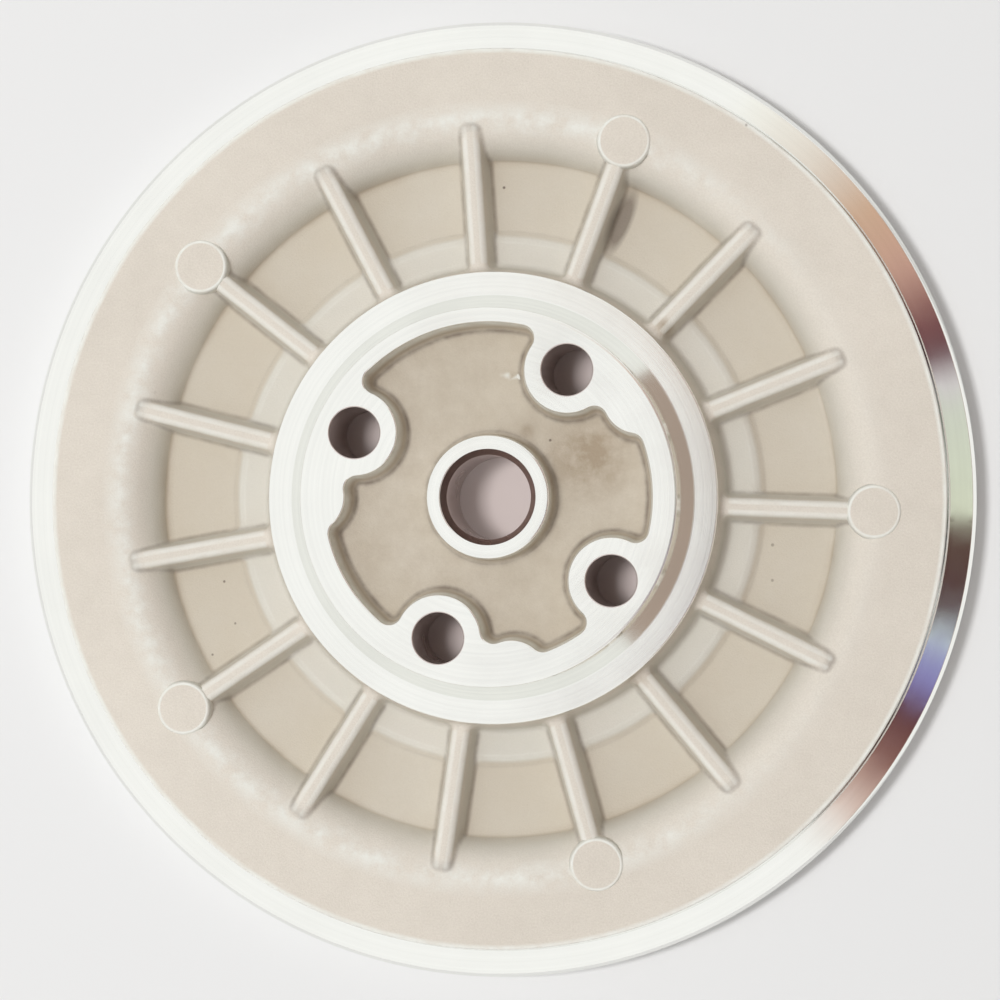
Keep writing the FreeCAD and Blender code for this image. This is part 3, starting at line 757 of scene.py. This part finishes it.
def plain_copy(made):
    """Turns an object with modifiers into an object with the same name and a plain mesh."""
    bpy.context.view_layer.update()
    graph = bpy.context.evaluated_depsgraph_get()
    mesh = bpy.data.meshes.new_from_object(
        made.evaluated_get(graph), preserve_all_data_layers=True, depsgraph=graph
    )
    made.modifiers.clear()
    made.data = mesh
    mesh.name = made.name
    return made


def settle_skin(made, plate):
    """Turns the faces outwards, makes the cast skin slightly uneven and weights the normals."""
    mesh = made.data
    shape = bmesh.new()
    shape.from_mesh(mesh)
    bmesh.ops.recalc_face_normals(shape, faces=shape.faces)
    finish = shape.faces.layers.int["finish"]
    for vertex in shape.verts:
        if vertex.link_faces and all(face[finish] == CAST for face in vertex.link_faces):
            place = vertex.co
            swell = noise.noise(place * 130) + 0.5 * noise.noise(place * 420)
            vertex.co = place + vertex.normal * (swell * plate.ripple)
    shape.to_mesh(mesh)
    shape.free()
    weight_normals(mesh)
    note_wear_and_highlight(mesh)


def note_wear_and_highlight(mesh):
    """Keeps how sharply the skin bends outwards at each point as the attribute "worn", the mask of worn edges
    and their painted highlights.
    """
    points, normals = np.zeros(3 * len(mesh.vertices)), np.zeros(3 * len(mesh.vertices))
    mesh.vertices.foreach_get("co", points)
    mesh.vertices.foreach_get("normal", normals)
    points, normals = points.reshape(-1, 3), normals.reshape(-1, 3)
    ends = np.zeros(2 * len(mesh.edges), dtype=np.int32)
    mesh.edges.foreach_get("vertices", ends)
    first, last = ends.reshape(-1, 2).T
    span = points[last] - points[first]
    square = np.maximum((span**2).sum(axis=1), 1e-12)
    bend_first = -(normals[first] * span).sum(axis=1) / square
    bend_last = (normals[last] * span).sum(axis=1) / square
    count = len(mesh.vertices)
    total = np.bincount(first, bend_first, count) + np.bincount(last, bend_last, count)
    edges = np.bincount(first, minlength=count) + np.bincount(last, minlength=count)
    worn = mesh.attributes.new("worn", "FLOAT", "POINT")
    worn.data.foreach_set("value", np.maximum(total / np.maximum(edges, 1), 0.0).astype(np.float32))


def weight_normals(mesh):
    """Shades the mesh smooth with normals that follow the larger faces, so flat faces stay flat."""
    mesh.shade_smooth()
    areas, normals = np.zeros(len(mesh.polygons)), np.zeros(3 * len(mesh.polygons))
    sizes = np.zeros(len(mesh.polygons), dtype=np.int32)
    mesh.polygons.foreach_get("area", areas)
    mesh.polygons.foreach_get("normal", normals)
    mesh.polygons.foreach_get("loop_total", sizes)
    corners = np.zeros(len(mesh.loops), dtype=np.int32)
    mesh.loops.foreach_get("vertex_index", corners)
    weighted = np.repeat(normals.reshape(-1, 3) * areas[:, None] / MM**2, sizes, axis=0)
    count = len(mesh.vertices)
    summed = np.stack([np.bincount(corners, weighted[:, axis], count) for axis in range(3)], axis=1)
    summed /= np.linalg.norm(summed, axis=1)[:, None]
    mesh.normals_split_custom_set_from_vertices([tuple(normal) for normal in summed])


# Finishes


def blank_finish(name):
    """Starts a material and gives it with its tree, its shader and its object coordinates."""
    made = bpy.data.materials.new(name)
    made.use_nodes = True
    tree = made.node_tree
    tree.nodes.clear()
    out = tree.nodes.new("ShaderNodeOutputMaterial")
    shader = tree.nodes.new("ShaderNodeBsdfPrincipled")
    tree.links.new(shader.outputs[0], out.inputs["Surface"])
    place = tree.nodes.new("ShaderNodeTexCoord").outputs["Object"]
    return made, tree, shader, place


def noise_of(tree, place, scale, detail=2.0, roughness=0.5):
    """Adds a noise texture and gives its value."""
    return node(tree, "ShaderNodeTexNoise", {
        "Vector": place, "Scale": scale, "Detail": detail, "Roughness": roughness}).outputs[0]


def mixed(tree, factor, first, second):
    """Mixes two colours and gives the result."""
    made = tree.nodes.new("ShaderNodeMix")
    made.data_type = "RGBA"
    for socket, value in zip((made.inputs[0], made.inputs[6], made.inputs[7]), (factor, first, second)):
        if isinstance(value, bpy.types.NodeSocket):
            tree.links.new(value, socket)
        else:
            socket.default_value = (*value, 1.0) if socket.type == "RGBA" else value
    return made.outputs[2]


def ranged(tree, value, low, high, to_low=0.0, to_high=1.0):
    """Stretches a range of a value to another range."""
    return node(tree, "ShaderNodeMapRange", {0: value, 1: low, 2: high, 3: to_low, 4: to_high}).outputs[0]


def calculated(tree, operation, *values):
    """Adds a sum and gives its value."""
    return node(tree, "ShaderNodeMath", dict(enumerate(values)), operation=operation).outputs[0]


def product(tree, first, second):
    """Multiplies two values."""
    return calculated(tree, "MULTIPLY", first, second)


def larger(tree, first, second):
    """Gives the larger of two values."""
    return calculated(tree, "MAXIMUM", first, second)


def flat_of(tree, place):
    """Gives a place without its height, and its distance from the bore axis."""
    flat = node(tree, "ShaderNodeVectorMath", {0: place, 1: (1.0, 1.0, 0.0)}, operation="MULTIPLY")
    reach = node(tree, "ShaderNodeVectorMath", {0: flat.outputs[0]}, operation="LENGTH")
    return flat.outputs[0], reach.outputs["Value"]


# Pores and stains of the skin, the stains partly painted shade, in millimetres from the bore: right, up,
# radius, strength
PORES = (
    (9.8, 9.5, 0.28, 0.9), (1.0, 52.4, 0.30, 0.9), (-46.8, -13.9, 0.28, 0.8), (-48.8, -26.3, 0.25, 0.7),
    (-44.9, -21.0, 0.25, 0.7),
)
# Partly stains, partly painted shade in corners, beside the saddle and in the pocket
STAINS_AND_SHADE = (
    (28.4, 28.2, 2.0, 0.8), (24.2, -30.2, 2.2, 0.5), (16.5, 7.0, 11.0, 0.9), (-22.4, 20.6, 3.0, 0.9),
    (-20.0, -9.0, 8.0, 0.35), (6.0, 11.0, 2.2, 0.6),
)
# Painted shadow beside a rib: right, up, half length, half width in millimetres, direction in degrees
STREAK_SHADOW = (20.9, 46.4, 6.6, 1.9, 67.0)


def marks_of(tree, flat, marks, soft):
    """Adds round marks and gives how much of them shows at each point."""
    shown = 0.0
    for right, up, radius, strength in marks:
        middle = (right * MM, up * MM, 0.0)
        gap = node(tree, "ShaderNodeVectorMath", {0: flat, 1: middle}, operation="DISTANCE")
        mark = ranged(tree, gap.outputs["Value"], soft * radius * MM, radius * MM, strength, 0.0)
        shown = larger(tree, mark, shown)
    return shown


def streak_shadow_of(tree, flat):
    """Adds the long painted shadow and gives how much of it shows."""
    right, up, half_length, half_width, degrees = STREAK_SHADOW
    turned = node(tree, "ShaderNodeMapping", {
        "Vector": flat, "Location": (right * MM, up * MM, 0.0),
        "Rotation": (0.0, 0.0, math.radians(degrees)),
        "Scale": (half_length * MM, half_width * MM, 1.0)}, vector_type="TEXTURE").outputs[0]
    gap = node(tree, "ShaderNodeVectorMath", {0: turned}, operation="LENGTH").outputs["Value"]
    return ranged(tree, gap, 0.55, 1.0, 0.75, 0.0)


def cast_skin(plate, colours):
    """Makes the sand-blasted skin: grain, dull patches, pores, residue with painted shade, painted shade in
    the hollows and lower in the recess, a painted shadow beside a rib, and worn crests with painted
    highlights.
    """
    made, tree, shader, place = blank_finish("cast_skin")
    patches = noise_of(tree, place, 45.0, 4.0, 0.6)
    clouds = noise_of(tree, place, 320.0, 4.0, 0.6)
    grain = noise_of(tree, place, 3200.0, 3.0, 0.7)
    flat, radius = flat_of(tree, place)
    axes = node(tree, "ShaderNodeSeparateXYZ", {0: place}).outputs
    across, height = axes[0], axes[2]
    floor, ring = plate.floor_height, plate.ring_height

    tone = calculated(
        tree, "ADD", ranged(tree, patches, 0.3, 0.7, 0.0, 0.45), ranged(tree, clouds, 0.3, 0.7, 0.0, 0.25))
    tone = calculated(tree, "ADD", tone, ranged(tree, grain, 0.35, 0.65, 0.0, 0.45))
    skin = mixed(tree, tone, tuple(colours.cast_light), tuple(colours.cast_dark))

    patchy = ranged(tree, patches, 0.3, 0.6, 0.65, 1.0)
    # Worn lip with a painted highlight, weaker towards the right side
    wavy = calculated(tree, "ADD", radius, ranged(tree, clouds, 0.3, 0.7, -0.4 * MM, 0.4 * MM))
    lip = ranged(tree, wavy, plate.lip_radius - 4.1 * MM, plate.lip_radius - 1.1 * MM)
    lip = product(tree, lip, ranged(tree, across, 0.02, 0.055, 1.0, 0.1))
    lip = product(tree, lip, ranged(tree, clouds, 0.35, 0.65, 0.0, 0.9))
    lip = ranged(tree, lip, 0.0, 1.0, 0.05)
    in_recess = ranged(tree, wavy, plate.lip_radius + 2.2 * MM, plate.lip_radius - 0.6 * MM)
    crest = product(tree, lip, in_recess)
    crest = product(tree, crest, ranged(tree, height, ring + 0.2 * MM, ring + 0.08 * MM))
    skin = mixed(tree, crest, skin, tuple(colours.worn))
    # Partly the skin's own tone, partly painted shade: greyer and darker below the ring, tan on the recess and
    # pocket floors
    low = product(tree, ranged(tree, height, ring - 0.6 * MM, floor + 2.5 * MM), patchy)
    skin = mixed(tree, low, skin, tuple(colours.slope))
    in_pocket = ranged(tree, radius, plate.spigot_radius - 0.8 * MM, plate.spigot_radius - 1.8 * MM)
    recess_tone_and_shade = larger(tree, ranged(tree, height, floor + 0.7 * MM, floor + 0.3 * MM), in_pocket)
    skin = mixed(tree, product(tree, recess_tone_and_shade, patchy), skin, tuple(colours.recess))

    # Residue and painted shade: brown at the foot of the slope, in the stains and over the pocket floor
    at_slope = ranged(tree, radius, plate.slope_foot_radius - 1.3 * MM, plate.slope_foot_radius)
    at_slope = product(tree, at_slope, ranged(tree, height, floor + 3.5 * MM, floor + 0.2 * MM))
    residue_and_shade = product(tree, at_slope, ranged(tree, patches, 0.35, 0.65, 0.0, 0.4))
    stains_and_shade = marks_of(tree, flat, STAINS_AND_SHADE, 0.2)
    stains_and_shade = product(tree, stains_and_shade, ranged(tree, clouds, 0.3, 0.6, 0.5, 1.2))
    pocket_residue_and_shade = product(tree, in_pocket, ranged(tree, clouds, 0.3, 0.75, 0.1, 0.35))
    residue_and_shade = larger(tree, larger(tree, residue_and_shade, stains_and_shade), pocket_residue_and_shade)
    skin = mixed(tree, residue_and_shade, skin, tuple(colours.residue_and_shade))

    # Painted shade in the hollows: the skin darkens towards the crevice colour by the hollow weights
    hollow = node(tree, "ShaderNodeAttribute", attribute_name="hollow").outputs["Fac"]
    hollow = calculated(tree, "POWER", hollow, 2.6)
    crevice_shade = product(tree, hollow, ranged(tree, clouds, 0.3, 0.65, 0.35, 0.9))
    skin = mixed(tree, crevice_shade, skin, tuple(colours.pits_and_shade))
    # Worn edges with painted highlights: sharply convex shoulders turn to the worn colour
    sharp = node(tree, "ShaderNodeAttribute", attribute_name="worn").outputs["Fac"]
    edge_wear_and_highlight = product(tree, ranged(tree, sharp, 60.0, 350.0), ranged(tree, clouds, 0.3, 0.6, 0.5, 1.0))
    skin = mixed(tree, edge_wear_and_highlight, skin, tuple(colours.worn))

    cells = node(tree, "ShaderNodeTexVoronoi", {"Vector": place, "Scale": 260.0})
    chance = node(tree, "ShaderNodeSeparateColor", {0: cells.outputs["Color"]}).outputs[0]
    pits_and_shadow = ranged(tree, cells.outputs["Distance"], 0.05, 0.09, 1.0, 0.0)
    pits_and_shadow = product(tree, pits_and_shadow, ranged(tree, chance, 0.97, 0.98))
    pits_and_shadow = larger(tree, product(tree, pits_and_shadow, 0.5), marks_of(tree, flat, PORES, 0.5))
    # The streak is a painted shadow beside a rib, darkened and sunk like the pits
    pits_and_shadow = larger(tree, pits_and_shadow, streak_shadow_of(tree, flat))
    skin = mixed(tree, pits_and_shadow, skin, tuple(colours.pits_and_shade))
    tree.links.new(skin, shader.inputs["Base Color"])
    shader.inputs["Metallic"].default_value = 0.35
    rough = ranged(tree, grain, 0.3, 0.7, 0.5, 0.7)
    rough = calculated(tree, "SUBTRACT", rough, product(tree, edge_wear_and_highlight, 0.12))
    tree.links.new(rough, shader.inputs["Roughness"])
    relief = calculated(tree, "SUBTRACT", grain, pits_and_shadow)
    fine = node(tree, "ShaderNodeBump", {"Height": relief, "Strength": 0.8, "Distance": 0.07 * MM})
    broad = node(tree, "ShaderNodeBump", {
        "Height": clouds, "Strength": 0.35, "Distance": 0.15 * MM, "Normal": fine.outputs[0]})
    tree.links.new(broad.outputs[0], shader.inputs["Normal"])
    return made


def turned_finish(name, tint, roughness, groove, wander):
    """Makes a lathe-turned finish: fine rings round the axis that stretch the highlights outwards."""
    made, tree, shader, place = blank_finish(name)
    flat, radius = flat_of(tree, place)
    rings = node(tree, "ShaderNodeTexNoise", {
        "W": radius, "Scale": 9000.0, "Detail": 2.0}, noise_dimensions="1D").outputs[0]
    bands = node(tree, "ShaderNodeTexNoise", {
        "W": radius, "Scale": 1400.0, "Detail": 3.0}, noise_dimensions="1D").outputs[0]
    patches = noise_of(tree, place, 60.0, 3.0, 0.6)
    shade = tuple(0.93 * channel for channel in tint)
    tone = calculated(
        tree, "ADD", ranged(tree, bands, 0.3, 0.7, 0.0, 0.5), ranged(tree, patches, 0.3, 0.7, 0.0, 0.5))
    tree.links.new(mixed(tree, tone, tuple(tint), shade), shader.inputs["Base Color"])
    shader.inputs["Metallic"].default_value = 1.0
    shader.inputs["Anisotropic"].default_value = 0.7
    rough = ranged(tree, patches, 0.3, 0.7, roughness, roughness + wander)
    tree.links.new(rough, shader.inputs["Roughness"])
    tangent = node(tree, "ShaderNodeVectorMath", {0: (0.0, 0.0, 1.0), 1: flat}, operation="CROSS_PRODUCT")
    tangent = node(tree, "ShaderNodeVectorMath", {0: tangent.outputs[0]}, operation="NORMALIZE")
    tree.links.new(tangent.outputs[0], shader.inputs["Tangent"])
    bump = node(tree, "ShaderNodeBump", {"Height": rings, "Strength": groove, "Distance": 0.01 * MM})
    tree.links.new(bump.outputs[0], shader.inputs["Normal"])
    return made


def finishes():
    """Gives the five finishes in the order of the face attribute."""
    names = ("cast_skin", "turned_faces", "mirror_rim", "bored_walls", "turned_back")
    if names[0] not in bpy.data.materials:
        plate, colours = settings()[0], settings()[3]
        cast_skin(plate, colours)
        turned_finish(names[1], colours.turned, 0.09, 0.15, 0.05)
        turned_finish(names[2], colours.mirror, 0.03, 0.05, 0.03)
        turned_finish(names[3], colours.bored, 0.25, 0.3, 0.1)
        turned_finish(names[4], colours.turned, 0.26, 0.3, 0.1)
    return [bpy.data.materials[name] for name in names]


# Operators


def hand_over(made):
    """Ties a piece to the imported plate."""
    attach(made, "root")
    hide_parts("seal_plate")


class SEAL_OT_casting(bpy.types.Operator):
    """Build the ribbed plate with its hub, pocket, bores and back"""

    bl_idname = "seal_plate.casting"
    bl_label = "Casting"

    def execute(self, context):
        plate, ribs, pocket = settings()[:3]
        core = bpy.data.objects.new("hub", hub_mesh(plate, ribs, pocket))
        context.scene.collection.objects.link(core)
        made = repeated("casting", bay_mesh(plate, ribs), ribs.count, ribs.first, core)
        bpy.data.objects.remove(core)
        settle_skin(made, plate)
        loose = open_edges(made.data)
        if loose:
            raise RuntimeError(f"the casting has {loose} open edges")
        hand_over(made)
        return {"FINISHED"}


class SEAL_OT_pads(bpy.types.Operator):
    """Build the ejector pads on every third rib"""

    bl_idname = "seal_plate.pads"
    bl_label = "Ejector Pads"

    def execute(self, context):
        plate, ribs = settings()[:2]
        made = repeated("ejector_pads", pad_mesh(plate, ribs), ribs.pad_count, ribs.first)
        settle_skin(made, plate)
        hand_over(made)
        return {"FINISHED"}


def open_edges(mesh):
    """Counts the edges of a mesh that don't have a face on both sides."""
    loops = np.zeros(len(mesh.loops), dtype=np.int32)
    mesh.loops.foreach_get("edge_index", loops)
    return int(np.count_nonzero(np.bincount(loops, minlength=len(mesh.edges)) != 2))


def seen_by(tree):
    """Tells camera rays and rays mirrored or passed on by a surface from the rays that carry light."""
    path = tree.nodes.new("ShaderNodeLightPath").outputs
    seen = larger(tree, path["Is Camera Ray"], path["Is Glossy Ray"])
    return larger(tree, seen, path["Is Transmission Ray"])


def table_top(plate, colours, stage):
    """Makes the pale table top: a painted shade under the plate, and a glow for camera and mirrored rays, as a
    pale backdrop beside the plate and as painted light under the bore.
    """
    made, tree, shader, place = blank_finish("table_top")
    shader.inputs["Roughness"].default_value = 0.6
    radius = node(tree, "ShaderNodeVectorMath", {0: place}, operation="LENGTH").outputs["Value"]
    in_open = ranged(tree, radius, plate.rim_radius - 10 * MM, plate.rim_radius - 8 * MM)
    # Painted shade: the darker mat under the plate
    paint = mixed(tree, in_open, tuple(colours.mat), tuple(colours.table))
    tree.links.new(paint, shader.inputs["Base Color"])
    covered = plate.rim_radius / 2 + 5 * MM
    away = calculated(tree, "ABSOLUTE", calculated(tree, "SUBTRACT", radius, covered))
    # Glow beside the plate as a pale backdrop, and under the bore as painted light
    glow = ranged(tree, away, covered - 14 * MM, covered - 10 * MM, 0.0, stage.glow)
    light = node(tree, "ShaderNodeEmission", {"Color": paint})
    blend = node(tree, "ShaderNodeMixShader", {
        0: product(tree, seen_by(tree), glow), 1: shader.outputs[0], 2: light.outputs[0]})
    out = next(item for item in tree.nodes if item.type == "OUTPUT_MATERIAL")
    tree.links.new(blend.outputs[0], out.inputs["Surface"])
    return made


def room_light(stage):
    """Makes the light of the room: pale overhead and dimmer at the sides, and pale wherever it is mirrored."""
    world = bpy.data.worlds.new("room")
    world.use_nodes = True
    tree = world.node_tree
    way = tree.nodes.new("ShaderNodeTexCoord").outputs["Generated"]
    height = node(tree, "ShaderNodeSeparateXYZ", {0: way}).outputs[2]
    light = ranged(tree, height, 0.15, 0.6, stage.horizon, stage.around)
    more = ranged(tree, height, 0.78, 0.9, 0.0, stage.overhead - stage.around)
    light = calculated(tree, "ADD", light, more)
    light = larger(tree, light, product(tree, seen_by(tree), stage.mirrored_room))
    background = tree.nodes["Background"]
    background.inputs["Color"].default_value = (*stage.room, 1.0)
    tree.links.new(light, background.inputs["Strength"])
    return world


def board_mesh(stage):
    """Makes the upright dark board that stands in an arc on the right."""
    points, faces = [], []
    steps = 24
    for step in range(steps + 1):
        turn = stage.board_side * (2 * step / steps - 1) + stage.board_turn
        for up in (stage.board_foot, stage.board_height):
            points.append((stage.board_reach * math.cos(turn), stage.board_reach * math.sin(turn), up))
    for index in range(steps):
        corner = 2 * index
        faces.append((corner, corner + 1, corner + 3, corner + 2))
    mesh = bpy.data.meshes.new("board")
    mesh.from_pydata(points, [], faces)
    made, tree, shader, place = blank_finish("board_paint")
    shader.inputs["Base Color"].default_value = (*stage.board, 1.0)
    shader.inputs["Roughness"].default_value = 0.9
    shader.inputs["Emission Color"].default_value = (*stage.mirrored, 1.0)
    mirrored = tree.nodes.new("ShaderNodeLightPath").outputs["Is Glossy Ray"]
    tree.links.new(mirrored, shader.inputs["Emission Strength"])
    mesh.materials.append(made)
    return mesh


# Colours of the card by direction in degrees, which the rim's right side mirrors
CARD_COLOURS = (
    (-46, (1.0, 1.0, 0.97)), (-40, (0.72, 0.50, 0.42)), (-35, (0.26, 0.12, 0.10)), (-27, (0.11, 0.04, 0.04)),
    (-24, (0.24, 0.21, 0.48)), (-19, (0.34, 0.36, 0.62)), (-17, (0.85, 1.0, 0.97)), (-15, (0.08, 0.03, 0.025)),
    (-4, (0.08, 0.03, 0.025)), (-2, (0.74, 0.78, 0.62)), (10, (0.66, 0.70, 0.60)), (14, (0.70, 0.66, 0.68)),
    (18, (0.12, 0.04, 0.05)), (23, (0.22, 0.09, 0.09)), (29, (0.60, 0.36, 0.29)), (38, (0.64, 0.43, 0.30)),
    (46, (0.82, 0.74, 0.66)), (58, (1.0, 1.0, 0.95)),
)


def card_mesh(stage):
    """Makes the coloured card: the part of a flat ring overhead that the rim's right side mirrors."""
    along, up = math.sin(stage.lean_x), math.sin(stage.lean_y)
    eye = Vector((stage.aim_x + along * stage.camera_distance, stage.aim_y + up * stage.camera_distance))
    reach = stage.card_height / (stage.aim_z + stage.camera_distance * math.cos(stage.lean_x))
    middle = -reach * eye
    radius = (1 + reach) * stage.card_aim
    inner, outer = radius - stage.card_width / 3, radius + 2 * stage.card_width / 3
    points, faces, shades = [], [], []
    first, last = CARD_COLOURS[0][0], CARD_COLOURS[-1][0]
    stops = [stop[0] for stop in CARD_COLOURS]
    channels = list(zip(*(stop[1] for stop in CARD_COLOURS)))
    for degrees in range(first, last + 1):
        turn = math.radians(degrees)
        shade = [float(np.interp(degrees, stops, tints)) for tints in channels]
        for across, share in ((inner, 1.0), (outer, 1.0), (outer + stage.card_width, 0.2)):
            x, y = middle + Vector((across * math.cos(turn), across * math.sin(turn)))
            points.append((x, y, stage.card_height))
            shades.extend((*(share * tint for tint in shade), 1.0))
    for index in range(last - first):
        corner = 3 * index
        faces.append((corner, corner + 3, corner + 4, corner + 1))
        faces.append((corner + 1, corner + 4, corner + 5, corner + 2))
    mesh = bpy.data.meshes.new("card")
    mesh.from_pydata(points, [], faces)
    mesh.attributes.new("shade", "FLOAT_COLOR", "POINT").data.foreach_set("color", shades)
    made, tree, shader, place = blank_finish("card_paint")
    shade = node(tree, "ShaderNodeAttribute", attribute_name="shade").outputs["Color"]
    light = node(tree, "ShaderNodeEmission", {"Color": shade})
    out = next(item for item in tree.nodes if item.type == "OUTPUT_MATERIAL")
    tree.links.new(light.outputs[0], out.inputs["Surface"])
    mesh.materials.append(made)
    return mesh


class SEAL_OT_stage(bpy.types.Operator):
    """Set up the table, the light and the camera"""

    bl_idname = "seal_plate.stage"
    bl_label = "Stage"

    def execute(self, context):
        plate, colours, stage = settings()[0], *settings()[3:]
        scene = context.scene
        table = bpy.data.meshes.new("table")
        shape = bmesh.new()
        bmesh.ops.create_circle(shape, cap_ends=True, radius=stage.table_radius, segments=96)
        shape.to_mesh(table)
        shape.free()
        floor = bpy.data.objects.new("table", table)
        scene.collection.objects.link(floor)
        table.materials.append(table_top(plate, colours, stage))

        for name, mesh in (("card", card_mesh(stage)), ("board", board_mesh(stage))):
            reflector = bpy.data.objects.new(name, mesh)
            scene.collection.objects.link(reflector)
            reflector.visible_camera = False

        window = bpy.data.lights.new("window", "AREA")
        window.shape = "RECTANGLE"
        window.size, window.size_y = stage.window_width, stage.window_depth
        window.energy = stage.window_power
        lamp = bpy.data.objects.new("window", window)
        lamp.location = stage.window_place
        lamp.visible_glossy = False
        lamp.rotation_euler = (-lamp.location).to_track_quat("-Z", "Y").to_euler()
        scene.collection.objects.link(lamp)
        scene.world = room_light(stage)

        lens = bpy.data.cameras.new("camera")
        lens.lens, lens.sensor_width = stage.lens, 36.0
        lens.clip_start, lens.clip_end = 0.01, 20.0
        camera = bpy.data.objects.new("camera", lens)
        across, along = math.sin(stage.lean_x), math.sin(stage.lean_y)
        back = Vector((across, along, math.sqrt(1 - across**2 - along**2)))
        right = Vector((0.0, 1.0, 0.0)).cross(back).normalized()
        camera.matrix_world = Matrix((right, back.cross(right), back)).transposed().to_4x4()
        camera.location = Vector((stage.aim_x, stage.aim_y, stage.aim_z)) + back * stage.camera_distance
        scene.collection.objects.link(camera)
        scene.camera = camera
        scene.view_settings.view_transform = "Standard"
        return {"FINISHED"}


class SEAL_PT_sidebar(bpy.types.Panel):
    """Lists the sizes and the pieces of the seal plate"""

    bl_label = "Seal Plate"
    bl_idname = "SEAL_PT_sidebar"
    bl_space_type = "VIEW_3D"
    bl_region_type = "UI"
    bl_category = "Seal Plate"

    def draw(self, context):
        for label, group, operators in (
            ("Plate", context.scene.seal_plate, (SEAL_OT_casting,)),
            ("Ribs and Pads", context.scene.seal_ribs, (SEAL_OT_pads,)),
            ("Pocket", context.scene.seal_pocket, ()),
            ("Finishes", context.scene.seal_finish, ()),
            ("Stage", context.scene.seal_stage, (SEAL_OT_stage,)),
        ):
            box = self.layout.box()
            box.label(text=label)
            for name in group.__annotations__:
                box.prop(group, name)
            for operator in operators:
                box.operator(operator.bl_idname)


GROUPS = {
    "seal_plate": PlateSizes,
    "seal_ribs": RibSizes,
    "seal_pocket": PocketSizes,
    "seal_finish": FinishColours,
    "seal_stage": StageSizes,
}
CLASSES = (*GROUPS.values(), SEAL_OT_casting, SEAL_OT_pads, SEAL_OT_stage, SEAL_PT_sidebar)


def register():
    """Adds the classes and their properties."""
    for item in CLASSES:
        bpy.utils.register_class(item)
    for name, group in GROUPS.items():
        setattr(bpy.types.Scene, name, PointerProperty(type=group))


def unregister():
    """Removes the properties and the classes."""
    for name in GROUPS:
        delattr(bpy.types.Scene, name)
    for item in reversed(CLASSES):
        bpy.utils.unregister_class(item)


def main():
    """Builds the plate on its table."""
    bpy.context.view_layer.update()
    register()
    bpy.ops.seal_plate.casting()
    bpy.ops.seal_plate.pads()
    bpy.ops.seal_plate.stage()


if __name__ == "__main__":
    main()
